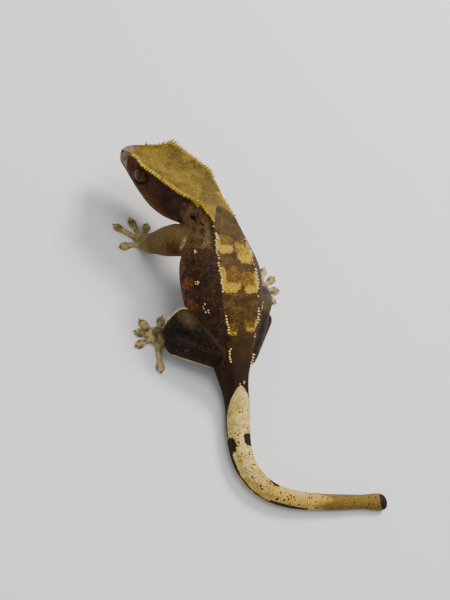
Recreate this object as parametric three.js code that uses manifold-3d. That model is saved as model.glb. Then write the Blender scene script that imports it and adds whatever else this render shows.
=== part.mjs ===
import * as THREE from 'three';
import { mergeVertices } from 'three/addons/utils/BufferGeometryUtils.js';
import Module from 'manifold-3d';

// Crested gecko, adult, life size in millimetres, standing on a floor at z = 0 with +Z up.
// It faces +Y, its left side is toward -X, its head is turned to its left and lowered, and
// its tail lies on the floor and bends to its right. Nodes meet with a narrow joint between.

const wasm = await Module();
wasm.setup();

const jointGap = 0.3;
const random = seeded(2417);

// Trunk, from the nape to the tail tip: centre of each section, half width and half height.
const trunkLine = [
  station(-16.2, 59.6, 20.6, 6.2, 5.0),
  station(-13.6, 55.6, 21.3, 7.5, 6.0),
  station(-10.6, 50.8, 21.5, 7.9, 6.6),
  station(-8.0, 46.0, 20.9, 8.2, 6.9),
  station(-6.8, 40.6, 19.2, 11.0, 7.9),
  station(-6.0, 34.2, 17.2, 14.2, 8.9),
  station(-5.0, 27.0, 15.0, 14.6, 9.3),
  station(-4.0, 19.6, 12.5, 13.2, 8.8),
  station(-2.9, 12.8, 10.0, 9.8, 7.5),
  station(-2.0, 6.6, 7.8, 7.2, 6.3),
  station(-1.5, 1.0, 5.9, 5.0, 5.3),
  station(-0.8, -4.4, 4.5, 4.0, 4.5),
  station(-0.7, -10.2, 3.8, 3.8, 3.9),
  station(-1.5, -16.4, 3.5, 3.7, 3.7),
  station(-1.9, -22.6, 3.3, 3.5, 3.5),
  station(-1.0, -28.2, 3.1, 3.3, 3.3),
  station(1.6, -33.0, 3.0, 3.2, 3.2),
  station(6.0, -36.6, 2.8, 3.0, 3.0),
  station(11.8, -38.8, 2.7, 2.8, 2.8),
  station(18.4, -39.8, 2.5, 2.7, 2.6),
  station(25.6, -40.2, 2.3, 2.5, 2.4),
  station(33.0, -40.3, 2.1, 2.4, 2.2),
  station(40.0, -40.3, 1.9, 2.3, 2.0),
  station(45.4, -40.4, 1.7, 2.8, 1.8),
  station(49.4, -40.5, 1.5, 2.6, 1.6),
];
// Places along the trunk line, counted in stations, where one node ends and the next starts.
const neckEnd = 4.1;
const chestEnd = 6.6;
const pelvisEnd = 10.8;
const tailBaseEnd = 14.4;
const tailMiddleEnd = 18.6;
const ringStep = 0.36;
const trunkSides = 24;
const tailSides = 16;
const ridgeBase = 1.03;
const ridgeNarrowing = 0.1;
const ridgeSpreading = 0.12;
const tipRound = 0.62;
const tipLeast = 0.12;
const trunkRoundness = 0.9;
const trunkLean = THREE.MathUtils.degToRad(9);
const ridgeHeight = 0.5;
const ridgeWidth = 0.22;

// Head, in its own frame: origin at the cap's rear, between the two crest corners, with
// distances counted back from the snout tip and heights from the level of the cap.
const headOrigin = new THREE.Vector3(-13.6, 56.5, 27.6);
const headTurn = THREE.MathUtils.degToRad(43);
const headDip = THREE.MathUtils.degToRad(12);
const headLength = 31;
const snoutRound = 2.6;
const headStations = [
  { back: 0, top: -5.4, crest: -5.2, crestOut: 1.9, cheek: 3.1, lip: 3, throat: -9.4 },
  { back: 4, top: -3.9, crest: -3.5, crestOut: 3, cheek: 4.6, lip: 4.7, throat: -10.6 },
  { back: 8.5, top: -2.2, crest: -1.3, crestOut: 4.9, cheek: 6.4, lip: 6.6, throat: -12 },
  { back: 13, top: -0.8, crest: 0.8, crestOut: 8.3, cheek: 8, lip: 8.4, throat: -13.4 },
  { back: 19, top: -0.5, crest: 0.8, crestOut: 8.5, cheek: 10, lip: 10.2, throat: -14.6 },
  { back: 25, top: -0.5, crest: 0.6, crestOut: 8.5, cheek: 11, lip: 10.6, throat: -14.8 },
  { back: 29, top: -0.7, crest: 0.4, crestOut: 8.2, cheek: 10.4, lip: 9.8, throat: -14.4 },
  { back: 31.5, top: -1, crest: -0.2, crestOut: 6.9, cheek: 9.6, lip: 9, throat: -13.9 },
  { back: 34.5, top: -1.8, crest: -1.2, crestOut: 5.9, cheek: 8, lip: 7.4, throat: -12.8 },
  { back: 38, top: -3.6, crest: -3.2, crestOut: 5, cheek: 6.2, lip: 5.6, throat: -11.4 },
];
const mouthFront = -7.3;
const mouthRear = -8.6;
const mouthLength = 20;
const mouthSlit = 0.36;
const mouthDepth = 0.7;

const eyeBack = 13.2;
const eyeOut = 5.5;
const eyeDown = -4.7;
const eyeRadius = 3.35;
const eyeRimRadius = 3.0;
const eyeRimHalfThickness = 0.5;
const eyeRimOut = 1.5;

const nostrilBack = 1.6;
const nostrilOut = 2.1;
const nostrilDown = -5.6;
const leftEarPlace = 2.2;
const leftEarAngle = 2.84;
const rightEarBack = 33.6;
const rightEarOut = 8.0;
const rightEarDown = -5.4;
const earSize = [0.6, 1.25, 1.1];
const nostrilSize = [0.5, 0.32, 0.9];

// Limbs: joints from the body outward, and the half thickness at each of them.
const limbs = {
  left_arm: {
    joints: [[-12.0, 42.4, 17.4], [-18.6, 43.6, 14.4], [-22.8, 48.0, 4.4]],
    radii: [5.2, 5.3, 3.4],
    palm: [-24.0, 50.4, 1.5],
    digits: [
      [-32.6, 47.8], [-33.9, 56.4], [-27.8, 59.8], [-21.5, 58.6], [-18.4, 53.6],
    ],
  },
  right_arm: {
    joints: [[-0.6, 42.2, 17.0], [6.0, 43.0, 10.8], [5.4, 50.0, 4.2]],
    radii: [4.4, 4.0, 3.0],
    palm: [6.2, 52.6, 1.5],
    digits: [
      [-0.6, 56.0], [2.8, 60.8], [7.8, 62.6], [12.4, 60.2], [14.6, 55.4],
    ],
  },
  left_leg: {
    joints: [[-6.8, 7.4, 8.6], [-18.6, 16.0, 11.6], [-22.2, 13.0, 3.6]],
    radii: [5.0, 3.3, 2.6],
    web: [[-19.6, 10.2, 6.4], [-8.2, 6.2, 8.4], 3.9, 4.4],
    palm: [-23.6, 15.0, 1.6],
    digits: [
      [-23.8, 2.6], [-31.2, 11.4], [-31.0, 16.6], [-28.8, 20.8], [-20.8, 22.6],
    ],
  },
  right_leg: {
    joints: [[2.6, 8.0, 8.8], [11.0, 24.2, 11.6], [16.6, 33.8, 3.6]],
    radii: [4.6, 3.2, 2.6],
    web: [[12.0, 20.0, 8.0], [3.2, 6.8, 8.4], 3.2, 3.8],
    palm: [17.8, 36.2, 1.6],
    digits: [
      [23.6, 31.6], [26.0, 36.8], [25.2, 42.2], [21.6, 45.6], [14.8, 45.0],
    ],
  },
};
const limbSides = 12;
const palmRadius = 3.3;
const toeSides = 8;
const toeHalfWidth = 0.9;
const toeHalfHeight = 0.8;
const padHalfWidth = 1.65;
const padHalfHeight = 0.62;
const clawLength = 1.1;
const clawLift = 0.25;
const padLength = 3.8;
const toeRoot = 1.1;

// Spines: along the cap's edge, longer ones over the eyes, and two rows down the back.
const crestStart = 7.4;
const crestEnd = 30.6;
const crestPitch = 1.25;
const crestLength = 1.05;
const lashMiddle = 12.5;
const lashSpread = 3.0;
const lashLength = 1.1;
const rowStart = 0.95;
const rowEnd = 9.6;
const rowPitch = 1.3;
const rowMargin = 0.15;
const rowLength = 0.8;
const chestRowGaps = [[4.9, 5.3]];
const pelvisRowGaps = [[7.1, 7.5], [8.1, 8.6]];
const spineRadius = 0.42;
const spineSides = 4;
const spineRoot = 0.45;

const skinOlive = material('#7c6431', 0.62);
const skinCap = material('#a58a35', 0.6);
const skinBrown = material('#4a3a26', 0.66);
const skinDark = material('#2f261d', 0.66);
const skinCream = material('#c3ad72', 0.6);
const skinGold = material('#8f7437', 0.62);
const eyeGloss = material('#2a211a', 0.08);

function station(x, y, z, wide, high) {
  return { at: new THREE.Vector3(x, y, z), wide, high };
}

function material(color, roughness) {
  return new THREE.MeshStandardMaterial({ color, roughness, metalness: 0 });
}

function seeded(seed) {
  let state = seed;
  return () => {
    state = (state * 16807) % 2147483647;
    return state / 2147483647;
  };
}

function catmull(list, place) {
  const last = list.length - 1;
  const index = Math.min(Math.floor(place), last - 1);
  const t = place - index;
  const a = list[Math.max(index - 1, 0)];
  const b = list[index];
  const c = list[index + 1];
  const d = list[Math.min(index + 2, last)];
  return smoothBetween([a, b, c, d], t);
}

// A curve through four neighbouring values, read between the second and the third.
function smoothBetween([a, b, c, d], t) {
  const bend = 2 * a - 5 * b + 4 * c - d;
  const twist = 3 * b - a - 3 * c + d;
  return 0.5 * (2 * b + (c - a) * t + bend * t * t + twist * t * t * t);
}

// A closed body from rings of equal count, each end shut by a fan about its centre.
function loft(rings) {
  return loftWithTips(rings, middle(rings[0]), middle(rings[rings.length - 1]));
}

// A closed body from rings of equal count that runs out to a point at each end.
function loftWithTips(rings, firstTip, lastTip) {
  const count = rings[0].length;
  const points = rings.flat();
  const triangles = [];
  for (let i = 0; i + 1 < rings.length; i += 1) {
    for (let j = 0; j < count; j += 1) {
      const next = (j + 1) % count;
      const here = i * count;
      const there = here + count;
      triangles.push(here + j, here + next, there + next);
      triangles.push(here + j, there + next, there + j);
    }
  }
  const lastStart = (rings.length - 1) * count;
  const first = points.length;
  points.push(firstTip, lastTip);
  for (let j = 0; j < count; j += 1) {
    const next = (j + 1) % count;
    triangles.push(first, next, j);
    triangles.push(first + 1, lastStart + j, lastStart + next);
  }
  return solidFrom(points, triangles);
}

function middle(ring) {
  const sum = new THREE.Vector3();
  for (const point of ring) {
    sum.add(point);
  }
  return sum.divideScalar(ring.length);
}

function solidFrom(points, triangles) {
  let volume = 0;
  for (let i = 0; i < triangles.length; i += 3) {
    const a = points[triangles[i]];
    const b = points[triangles[i + 1]];
    const c = points[triangles[i + 2]];
    volume += a.dot(new THREE.Vector3().crossVectors(b, c));
  }
  const order = volume < 0 ? [0, 2, 1] : [0, 1, 2];
  const indices = new Uint32Array(triangles.length);
  for (let i = 0; i < triangles.length; i += 3) {
    order.forEach((from, k) => {
      indices[i + k] = triangles[i + from];
    });
  }
  const positions = new Float32Array(points.length * 3);
  points.forEach((point, i) => point.toArray(positions, i * 3));
  const mesh = new wasm.Mesh({ numProp: 3, vertProperties: positions, triVerts: indices });
  mesh.merge();
  return new wasm.Manifold(mesh);
}

function largestPiece(solid) {
  const pieces = solid.decompose();
  return pieces.reduce((best, piece) => (piece.volume() > best.volume() ? piece : best));
}

function join(pieces) {
  return pieces.reduce((whole, piece) => whole.add(piece));
}

function trunkAt(place) {
  const at = new THREE.Vector3(
    catmull(trunkLine.map((s) => s.at.x), place),
    catmull(trunkLine.map((s) => s.at.y), place),
    catmull(trunkLine.map((s) => s.at.z), place),
  );
  const wide = catmull(trunkLine.map((s) => s.wide), place);
  const high = catmull(trunkLine.map((s) => s.high), place);
  return { at, wide, high };
}

function trunkFrame(place) {
  const last = trunkLine.length - 1;
  const ahead = trunkAt(Math.max(place - 0.02, 0)).at;
  const behind = trunkAt(Math.min(place + 0.02, last)).at;
  const forward = ahead.sub(behind).normalize();
  const right = new THREE.Vector3(forward.y, -forward.x, 0).normalize();
  const { smoothstep } = THREE.MathUtils;
  const lean = trunkLean * smoothstep(place, 1.5, 4.5) * (1 - smoothstep(place, 8.5, 11.5));
  right.applyAxisAngle(forward, lean);
  const up = new THREE.Vector3().crossVectors(right, forward);
  return { forward, right, up };
}

// Where the low ridge of the back runs: nearer the middle at mid trunk, wider apart at the hips.
function ridgeAngle(place) {
  const narrowing = ridgeNarrowing * Math.exp(-(((place - 5.5) / 1.8) ** 2));
  return ridgeBase + narrowing - ridgeSpreading * THREE.MathUtils.smoothstep(place, 8, 9.5);
}

// A point of the trunk's skin, at an angle counted from its right side over its back.
function trunkPoint(place, angle, grow) {
  const { at, wide, high } = trunkAt(place);
  const { right, up } = trunkFrame(place);
  const c = Math.cos(angle);
  const s = Math.sin(angle);
  const across = Math.sign(c) * Math.abs(c) ** trunkRoundness * (wide + grow);
  let upward = Math.sign(s) * Math.abs(s) ** trunkRoundness * (high + grow);
  const onBack = THREE.MathUtils.smoothstep(place, 12, 9.5);
  const ridge = ridgeAngle(place);
  const fromRidge = Math.min(Math.abs(angle - ridge), Math.abs(Math.PI - ridge - angle));
  upward += onBack * ridgeHeight * Math.exp(-((fromRidge / ridgeWidth) ** 2));
  const tip = trunkLine.length - 1 - place;
  const rounding = tip < tipRound ? Math.sqrt(1 - (1 - tip / tipRound) ** 2) : 1;
  const point = at.clone()
    .addScaledVector(right, across * Math.max(rounding, tipLeast))
    .addScaledVector(up, upward * Math.max(rounding, tipLeast));
  point.z = Math.max(point.z, -grow);
  return point;
}

function trunkNode(from, to, sides, grow = 0) {
  const rings = [];
  const count = Math.max(2, Math.round((to - from) / ringStep));
  for (let i = 0; i <= count; i += 1) {
    const place = from + ((to - from) * i) / count;
    const ring = [];
    for (let j = 0; j < sides; j += 1) {
      ring.push(trunkPoint(place, (j / sides) * 2 * Math.PI, grow));
    }
    rings.push(ring);
  }
  return loft(rings);
}

// Half of the joint gap, as a share of the distance between two stations.
function halfGap(place) {
  const step = 0.1;
  const length = trunkAt(place - step).at.distanceTo(trunkAt(place + step).at);
  return (jointGap / 2) * ((2 * step) / length);
}

// The length of trunk between two places, held back by half a gap at each joint with a neighbour.
function trunkSpan(from, to, sides) {
  const start = from > 0 ? from + halfGap(from) : 0;
  const end = to < trunkLine.length - 1 ? to - halfGap(to) : to;
  return trunkNode(start, end, sides);
}

function headFrame() {
  const heading = new THREE.Vector3(-Math.sin(headTurn), Math.cos(headTurn), 0);
  const forward = heading.clone().multiplyScalar(Math.cos(headDip));
  forward.z = -Math.sin(headDip);
  const right = new THREE.Vector3(heading.y, -heading.x, 0);
  const up = new THREE.Vector3().crossVectors(right, forward);
  return { forward, right, up };
}

function headPoint(back, out, height) {
  const { forward, right, up } = headFrame();
  return headOrigin.clone()
    .addScaledVector(forward, headLength - back)
    .addScaledVector(right, out)
    .addScaledVector(up, height);
}

function headSize(name, back) {
  let place = 0;
  while (place < headStations.length - 2 && back > headStations[place + 1].back) {
    place += 1;
  }
  const start = headStations[place].back;
  const share = (back - start) / (headStations[place + 1].back - start);
  return catmull(headStations.map((s) => s[name]), place + share);
}

// The rounding of the snout: how much of each size is left near the tip.
function snoutShare(back) {
  if (back >= snoutRound) {
    return 1;
  }
  return Math.sqrt(1 - (1 - back / snoutRound) ** 2);
}

function mouthHeight(back) {
  const share = Math.min(back / mouthLength, 1);
  return mouthFront + (mouthRear - mouthFront) * share ** 0.8;
}

// One half of a head section, from the middle of the cap to the middle of the throat.
function headHalfSection(back, grow) {
  const share = snoutShare(back);
  const top = headSize('top', back);
  const crest = headSize('crest', back);
  const crestOut = headSize('crestOut', back) * share;
  const cheek = headSize('cheek', back) * share;
  const lip = headSize('lip', back) * share;
  const throat = headSize('throat', back);
  const centre = mouthFront + 0.3;
  const squeeze = (height) => centre + (height - centre) * (0.35 + 0.65 * share);
  const line = mouthHeight(back);
  const points = [
    [0, top + grow],
    [crestOut * 0.55, top + (crest - top) * 0.3 + grow],
    [crestOut + grow * 0.6, crest + grow * 0.7],
    [crestOut * 0.35 + cheek * 0.5 + grow, crest * 0.6 + line * 0.4],
    [cheek + grow, line + 1.7],
    [lip * 1.02 + grow, line + 0.5],
    [lip * 0.97 + grow, line - 0.8],
    [lip * 0.72 + grow * 0.7, throat + 1.2 - grow * 0.7],
    [0, throat - grow],
  ];
  return points.map(([out, height]) => [out, squeeze(height)]);
}

function headRing(back, grow) {
  const half = headHalfSection(back, grow);
  const mirrored = half.slice(1, -1).reverse().map(([out, height]) => [-out, height]);
  const keys = [...half, ...mirrored];
  const ring = [];
  const split = 2;
  const count = keys.length;
  for (let i = 0; i < count * split; i += 1) {
    const index = Math.floor(i / split);
    const t = (i % split) / split;
    const near = [-1, 0, 1, 2].map((k) => keys[(index + k + count) % count]);
    const out = smoothBetween(near.map((p) => p[0]), t);
    const height = smoothBetween(near.map((p) => p[1]), t);
    ring.push(headPoint(back, out, height));
  }
  return ring;
}

function headBody(grow = 0) {
  const last = headStations[headStations.length - 1].back;
  const rings = [];
  const tipRings = [0.05, 0.35, 0.9, 1.7, 2.6];
  for (const back of tipRings) {
    rings.push(headRing(back, grow));
  }
  const step = 1.7;
  const count = Math.round((last - snoutRound) / step);
  for (let i = 1; i <= count; i += 1) {
    rings.push(headRing(snoutRound + ((last - snoutRound) * i) / count, grow));
  }
  return loft(rings);
}

function ball(centre, radii, axes, turns = 8, sides = 12) {
  const [a, b, c] = axes;
  const rings = [];
  for (let i = 1; i < turns; i += 1) {
    const polar = (i / turns) * Math.PI;
    const ring = [];
    for (let j = 0; j < sides; j += 1) {
      const angle = (j / sides) * 2 * Math.PI;
      ring.push(centre.clone()
        .addScaledVector(a, radii[0] * Math.sin(polar) * Math.cos(angle))
        .addScaledVector(b, radii[1] * Math.sin(polar) * Math.sin(angle))
        .addScaledVector(c, radii[2] * Math.cos(polar)));
    }
    rings.push(ring);
  }
  return loftWithTips(rings, centre.clone().addScaledVector(c, radii[2]),
    centre.clone().addScaledVector(c, -radii[2]));
}

// A limb length between two joints, round in section, with rounded ends.
function limbLength(from, to, radiusFrom, radiusTo, bulge, grow = 0) {
  const start = new THREE.Vector3(...from);
  const end = new THREE.Vector3(...to);
  const along = end.clone().sub(start);
  const length = along.length();
  along.normalize();
  const side = new THREE.Vector3(along.y, -along.x, 0).normalize();
  const over = new THREE.Vector3().crossVectors(side, along);
  const rings = [];
  const steps = 5;
  const ringAt = (distance, radius) => {
    const ring = [];
    for (let j = 0; j < limbSides; j += 1) {
      const angle = (j / limbSides) * 2 * Math.PI;
      const point = start.clone()
        .addScaledVector(along, distance)
        .addScaledVector(side, radius * Math.cos(angle))
        .addScaledVector(over, radius * Math.sin(angle));
      point.z = Math.max(point.z, 0.6 - grow);
      ring.push(point);
    }
    return ring;
  };
  const first = radiusFrom + grow;
  const last = radiusTo + grow;
  rings.push(ringAt(-first * 0.8, first * 0.6), ringAt(-first * 0.4, first * 0.92));
  for (let i = 0; i <= steps; i += 1) {
    const t = i / steps;
    const muscle = bulge * Math.sin(Math.PI * Math.min(t * 1.3, 1));
    rings.push(ringAt(length * t, first + (last - first) * t + muscle));
  }
  rings.push(ringAt(length + last * 0.4, last * 0.92), ringAt(length + last * 0.8, last * 0.6));
  return loftWithTips(rings, start.clone().addScaledVector(along, -first),
    end.clone().addScaledVector(along, last));
}

// One digit on the floor: a slender length from the palm, an oval pad and a short claw.
function digit(palm, tip) {
  const start = new THREE.Vector3(palm[0], palm[1], palm[2] * 0.75);
  const end = new THREE.Vector3(tip[0], tip[1], padHalfHeight);
  const along = end.clone().sub(start).setZ(0);
  const length = along.length();
  along.normalize();
  const side = new THREE.Vector3(along.y, -along.x, 0);
  const padStart = length - padLength;
  const stations = [
    [0, toeRoot, toeRoot],
    [padStart * 0.55, toeHalfWidth, toeHalfHeight],
    [padStart, toeHalfWidth, toeHalfHeight],
    [length - 2.9, padHalfWidth * 0.82, padHalfHeight],
    [length - 1.7, padHalfWidth, padHalfHeight],
    [length - 0.6, padHalfWidth * 0.78, padHalfHeight * 0.92],
    [length, 0.5, 0.42],
    [length + clawLength, 0.16, 0.14],
  ];
  const rings = stations.map(([distance, wide, high]) => {
    const ring = [];
    for (let j = 0; j < toeSides; j += 1) {
      const angle = ((j + 0.5) / toeSides) * 2 * Math.PI;
      const lift = distance > length ? clawLift : 0;
      const centre = start.clone().addScaledVector(along, distance);
      centre.z = high + lift;
      const point = centre.addScaledVector(side, wide * Math.cos(angle));
      point.z += (high * Math.sin(angle)) / Math.sin(0.375 * Math.PI);
      point.z = Math.max(point.z, lift);
      ring.push(point);
    }
    return ring;
  });
  return loft(rings);
}

// A flattened palm with its five digits, all resting on the floor.
function footNode(limb) {
  const axes = [new THREE.Vector3(1, 0, 0), new THREE.Vector3(0, 1, 0), new THREE.Vector3(0, 0, 1)];
  const palmSize = [palmRadius, palmRadius, limb.palm[2]];
  const pieces = [ball(new THREE.Vector3(...limb.palm), palmSize, axes, 6, 12)];
  for (const tip of limb.digits) {
    pieces.push(digit(limb.palm, tip));
  }
  return join(pieces);
}

// A tapered four-sided spine whose root is sunk into the skin.
function spine(base, direction, length) {
  const axis = direction.clone().normalize();
  const side = new THREE.Vector3(axis.y, -axis.x, 0).normalize();
  const over = new THREE.Vector3().crossVectors(side, axis);
  const root = base.clone().addScaledVector(axis, -spineRoot);
  const points = [root];
  for (let j = 0; j < spineSides; j += 1) {
    const angle = (j / spineSides) * 2 * Math.PI;
    points.push(root.clone()
      .addScaledVector(side, spineRadius * Math.cos(angle))
      .addScaledVector(over, spineRadius * Math.sin(angle)));
  }
  points.push(base.clone().addScaledVector(axis, length));
  const triangles = [];
  for (let j = 0; j < spineSides; j += 1) {
    const next = (j + 1) % spineSides;
    triangles.push(0, 1 + next, 1 + j, 1 + j, 1 + next, spineSides + 1);
  }
  return solidFrom(points, triangles);
}

// Spines along both edges of the cap, longer over the eyes.
function headSpines() {
  const pieces = [];
  const { forward, right, up } = headFrame();
  for (const sign of [-1, 1]) {
    for (let back = crestStart; back < crestEnd; back += crestPitch) {
      const out = headSize('crestOut', back) * sign;
      const base = headPoint(back, out, headSize('crest', back) - 0.1);
      const overEye = Math.exp(-(((back - lashMiddle) / lashSpread) ** 2));
      const direction = right.clone().multiplyScalar(sign * (0.75 + 0.25 * overEye))
        .addScaledVector(up, 0.65)
        .addScaledVector(forward, -0.1 + 0.25 * (random() - 0.5));
      const length = crestLength + lashLength * overEye + 0.3 * random();
      pieces.push(spine(base, direction, length));
    }
  }
  return pieces;
}

// Spines in two rows along the back, in broken lengths behind the neck.
function backSpines(from, to, gaps) {
  const pieces = [];
  for (const sign of [-1, 1]) {
    let place = from;
    while (place < to) {
      const { at } = trunkAt(place);
      if (!gaps.some(([a, b]) => place > a && place < b)) {
        const angle = sign > 0 ? ridgeAngle(place) : Math.PI - ridgeAngle(place);
        const base = trunkPoint(place, angle, 0);
        const { right, up, forward } = trunkFrame(place);
        const direction = up.clone().multiplyScalar(0.8)
          .addScaledVector(right, sign * 0.55)
          .addScaledVector(forward, 0.3 * (random() - 0.5));
        pieces.push(spine(base, direction, rowLength + 0.35 * random()));
      }
      const ahead = trunkAt(place + 0.1).at.distanceTo(at) / 0.1;
      place += (rowPitch + 0.25 * random()) / ahead;
    }
  }
  return pieces;
}

// A thin blade that follows the lips round the snout, to be cut out as the mouth line.
function mouthBlade() {
  const outline = [];
  const steps = 22;
  for (let i = -steps; i <= steps; i += 1) {
    const share = Math.abs(i) / steps;
    const back = mouthLength * share ** 1.6;
    const sign = Math.sign(i);
    const out = sign * headSize('lip', back) * snoutShare(back);
    outline.push({ back, out, height: mouthHeight(back) });
  }
  const rings = outline.map((spot, i) => {
    const before = outline[Math.max(i - 1, 0)];
    const after = outline[Math.min(i + 1, outline.length - 1)];
    const run = [after.back - before.back, after.out - before.out];
    const size = Math.hypot(...run) || 1;
    const outward = [-run[1] / size, run[0] / size];
    const corners = [[-mouthDepth, -0.5], [1.2, -0.5], [1.2, 0.5], [-mouthDepth, 0.5]];
    return corners.map(([reach, level]) => headPoint(
      spot.back + outward[0] * reach,
      spot.out + outward[1] * reach,
      spot.height + level * mouthSlit,
    ));
  });
  return loft(rings);
}

function headAxes() {
  const { forward, right, up } = headFrame();
  return [forward, up, right];
}

function eyeCentre(sign) {
  return headPoint(eyeBack, sign * eyeOut, eyeDown);
}

function eyeBall(sign, grow = 0) {
  const radius = eyeRadius + grow;
  return ball(eyeCentre(sign), [radius, radius, radius], headAxes(), 10, 16);
}

// The low ring of scales that frames the clear cap of each eye.
function eyeRim(sign) {
  const ring = new THREE.TorusGeometry(eyeRimRadius, eyeRimHalfThickness, 8, 20);
  ring.deleteAttribute('uv');
  ring.deleteAttribute('normal');
  const welded = mergeVertices(ring, 1e-4);
  const { forward, right, up } = headFrame();
  const centre = headPoint(eyeBack, sign * (eyeOut + eyeRimOut), eyeDown);
  const place = new THREE.Matrix4().makeBasis(forward, up, right).setPosition(centre);
  welded.applyMatrix4(place);
  const points = [];
  const spots = welded.attributes.position;
  for (let i = 0; i < spots.count; i += 1) {
    points.push(new THREE.Vector3().fromBufferAttribute(spots, i));
  }
  return solidFrom(points, Array.from(welded.index.array));
}

// The upright slot of an ear; the head is bent to the left, which bares the left one on the neck.
function earHollow(sign) {
  const centre = sign < 0
    ? trunkPoint(leftEarPlace, leftEarAngle, 0)
    : headPoint(rightEarBack, rightEarOut, rightEarDown);
  return ball(centre, earSize, headAxes(), 6, 8);
}

function buildHead() {
  const hollows = [mouthBlade(), eyeBall(-1, jointGap), eyeBall(1, jointGap)];
  for (const sign of [-1, 1]) {
    const nostril = headPoint(nostrilBack, sign * nostrilOut, nostrilDown);
    hollows.push(ball(nostril, nostrilSize, headAxes(), 5, 8));
    hollows.push(earHollow(sign));
  }
  let solid = join([headBody(), eyeRim(-1), eyeRim(1)]);
  for (const hollow of hollows) {
    solid = solid.subtract(hollow);
  }
  return largestPiece(join([solid, ...headSpines()]));
}

function limbParts(name) {
  const limb = limbs[name];
  const [root, bend, end] = limb.joints;
  const [thick, mid, thin] = limb.radii;
  const upper = (grow) => {
    const shaft = limbLength(root, bend, thick, mid, 0.3, grow);
    return limb.web ? shaft.add(limbLength(...limb.web, 0, grow)) : shaft;
  };
  const lower = (grow) => limbLength(bend, end, mid, thin, 0.35, grow);
  return { upper, lower, foot: footNode(limb) };
}

// The middle of the animal's floor plan, which becomes the origin.
function floorCentre(list) {
  const box = new THREE.Box3();
  for (const { solid } of list) {
    const { min, max } = solid.boundingBox();
    box.expandByPoint(new THREE.Vector3(...min)).expandByPoint(new THREE.Vector3(...max));
  }
  const centre = box.getCenter(new THREE.Vector3());
  return centre.setZ(box.min.z);
}

const parts = [];

function addPart(name, solid, look) {
  parts.push({ name, solid: largestPiece(solid), look });
}

const headSolid = buildHead();
const neckSolid = trunkSpan(0, neckEnd, trunkSides)
  .subtract(headBody(jointGap))
  .subtract(earHollow(-1));
const chestSolid = trunkSpan(neckEnd, chestEnd, trunkSides);
const pelvisSolid = trunkSpan(chestEnd, pelvisEnd, trunkSides);
const tailBase = trunkSpan(pelvisEnd, tailBaseEnd, tailSides);
const tailMiddle = trunkSpan(tailBaseEnd, tailMiddleEnd, tailSides);
const tailEnd = trunkSpan(tailMiddleEnd, trunkLine.length - 1, tailSides);
const wholeTrunk = trunkNode(0, trunkLine.length - 1, trunkSides, jointGap);

const roots = join(Object.keys(limbs).map((name) => limbParts(name).upper(jointGap)));
const clearOfLimbs = (pieces) => pieces.filter((piece) => piece.intersect(roots).isEmpty());
const neckSpines = clearOfLimbs(backSpines(rowStart, neckEnd - rowMargin, []));
const chestSpines = clearOfLimbs(backSpines(neckEnd + rowMargin, chestEnd - rowMargin, chestRowGaps));
const pelvisSpines = clearOfLimbs(backSpines(chestEnd + rowMargin, rowEnd, pelvisRowGaps));

addPart('head', headSolid, skinCap);
addPart('neck', join([neckSolid, ...neckSpines]).subtract(headBody(jointGap)), skinOlive);
addPart('torso_front', join([chestSolid, ...chestSpines]), skinBrown);
addPart('torso_rear', join([pelvisSolid, ...pelvisSpines]), skinBrown);
addPart('tail_base', tailBase, skinCream);
addPart('tail_middle', tailMiddle, skinCream);
addPart('tail_end', tailEnd, skinGold);
addPart('eye_left', eyeBall(-1), eyeGloss);
addPart('eye_right', eyeBall(1), eyeGloss);

for (const name of Object.keys(limbs)) {
  const isArm = name.endsWith('arm');
  const side = name.split('_')[0];
  const { upper, lower, foot } = limbParts(name);
  const names = isArm ? ['upper_arm', 'forearm', 'hand'] : ['thigh', 'shank', 'foot'];
  const look = isArm ? skinOlive : skinDark;
  addPart(`${side}_${names[0]}`, upper(0).subtract(wholeTrunk), look);
  addPart(`${side}_${names[1]}`, lower(0).subtract(upper(jointGap)).subtract(wholeTrunk), look);
  addPart(`${side}_${names[2]}`, foot.subtract(lower(jointGap)), look);
}

const gecko = new THREE.Group();
gecko.name = 'crested_gecko';
const baseCentre = floorCentre(parts);
for (const { name, solid, look } of parts) {
  const { vertProperties, triVerts, numProp } = solid.getMesh();
  const geometry = new THREE.BufferGeometry();
  const positions = new Float32Array((vertProperties.length / numProp) * 3);
  for (let i = 0; i < positions.length / 3; i += 1) {
    for (let k = 0; k < 3; k += 1) {
      positions[i * 3 + k] = vertProperties[i * numProp + k];
    }
  }
  geometry.setAttribute('position', new THREE.BufferAttribute(positions, 3));
  geometry.setIndex(new THREE.BufferAttribute(new Uint32Array(triVerts), 1));
  geometry.computeVertexNormals();
  const mesh = new THREE.Mesh(geometry, look);
  mesh.name = name;
  mesh.position.copy(baseCentre).negate();
  gecko.add(mesh);
}

export default gecko;
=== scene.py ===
import math
import random
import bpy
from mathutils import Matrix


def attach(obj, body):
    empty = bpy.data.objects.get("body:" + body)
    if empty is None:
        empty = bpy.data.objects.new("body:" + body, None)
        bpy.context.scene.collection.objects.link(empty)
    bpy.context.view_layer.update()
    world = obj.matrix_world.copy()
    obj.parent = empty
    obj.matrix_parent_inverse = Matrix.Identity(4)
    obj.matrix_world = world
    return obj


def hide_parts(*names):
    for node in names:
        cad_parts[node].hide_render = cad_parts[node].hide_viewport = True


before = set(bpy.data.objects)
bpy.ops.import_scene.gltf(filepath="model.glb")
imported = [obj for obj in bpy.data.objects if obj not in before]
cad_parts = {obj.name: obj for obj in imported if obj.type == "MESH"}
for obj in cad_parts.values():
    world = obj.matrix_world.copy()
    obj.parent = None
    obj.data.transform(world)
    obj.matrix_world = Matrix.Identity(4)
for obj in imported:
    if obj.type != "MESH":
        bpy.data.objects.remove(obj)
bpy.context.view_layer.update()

from types import SimpleNamespace

import bpy
import numpy as np
from mathutils import Matrix, Vector

rng = random.Random(2417)

# everything below is worked out in millimetres, then set in metres about the middle of the floor plan
mm = 0.001
planShift = (-7.249, -17.834, 0.0)


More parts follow.
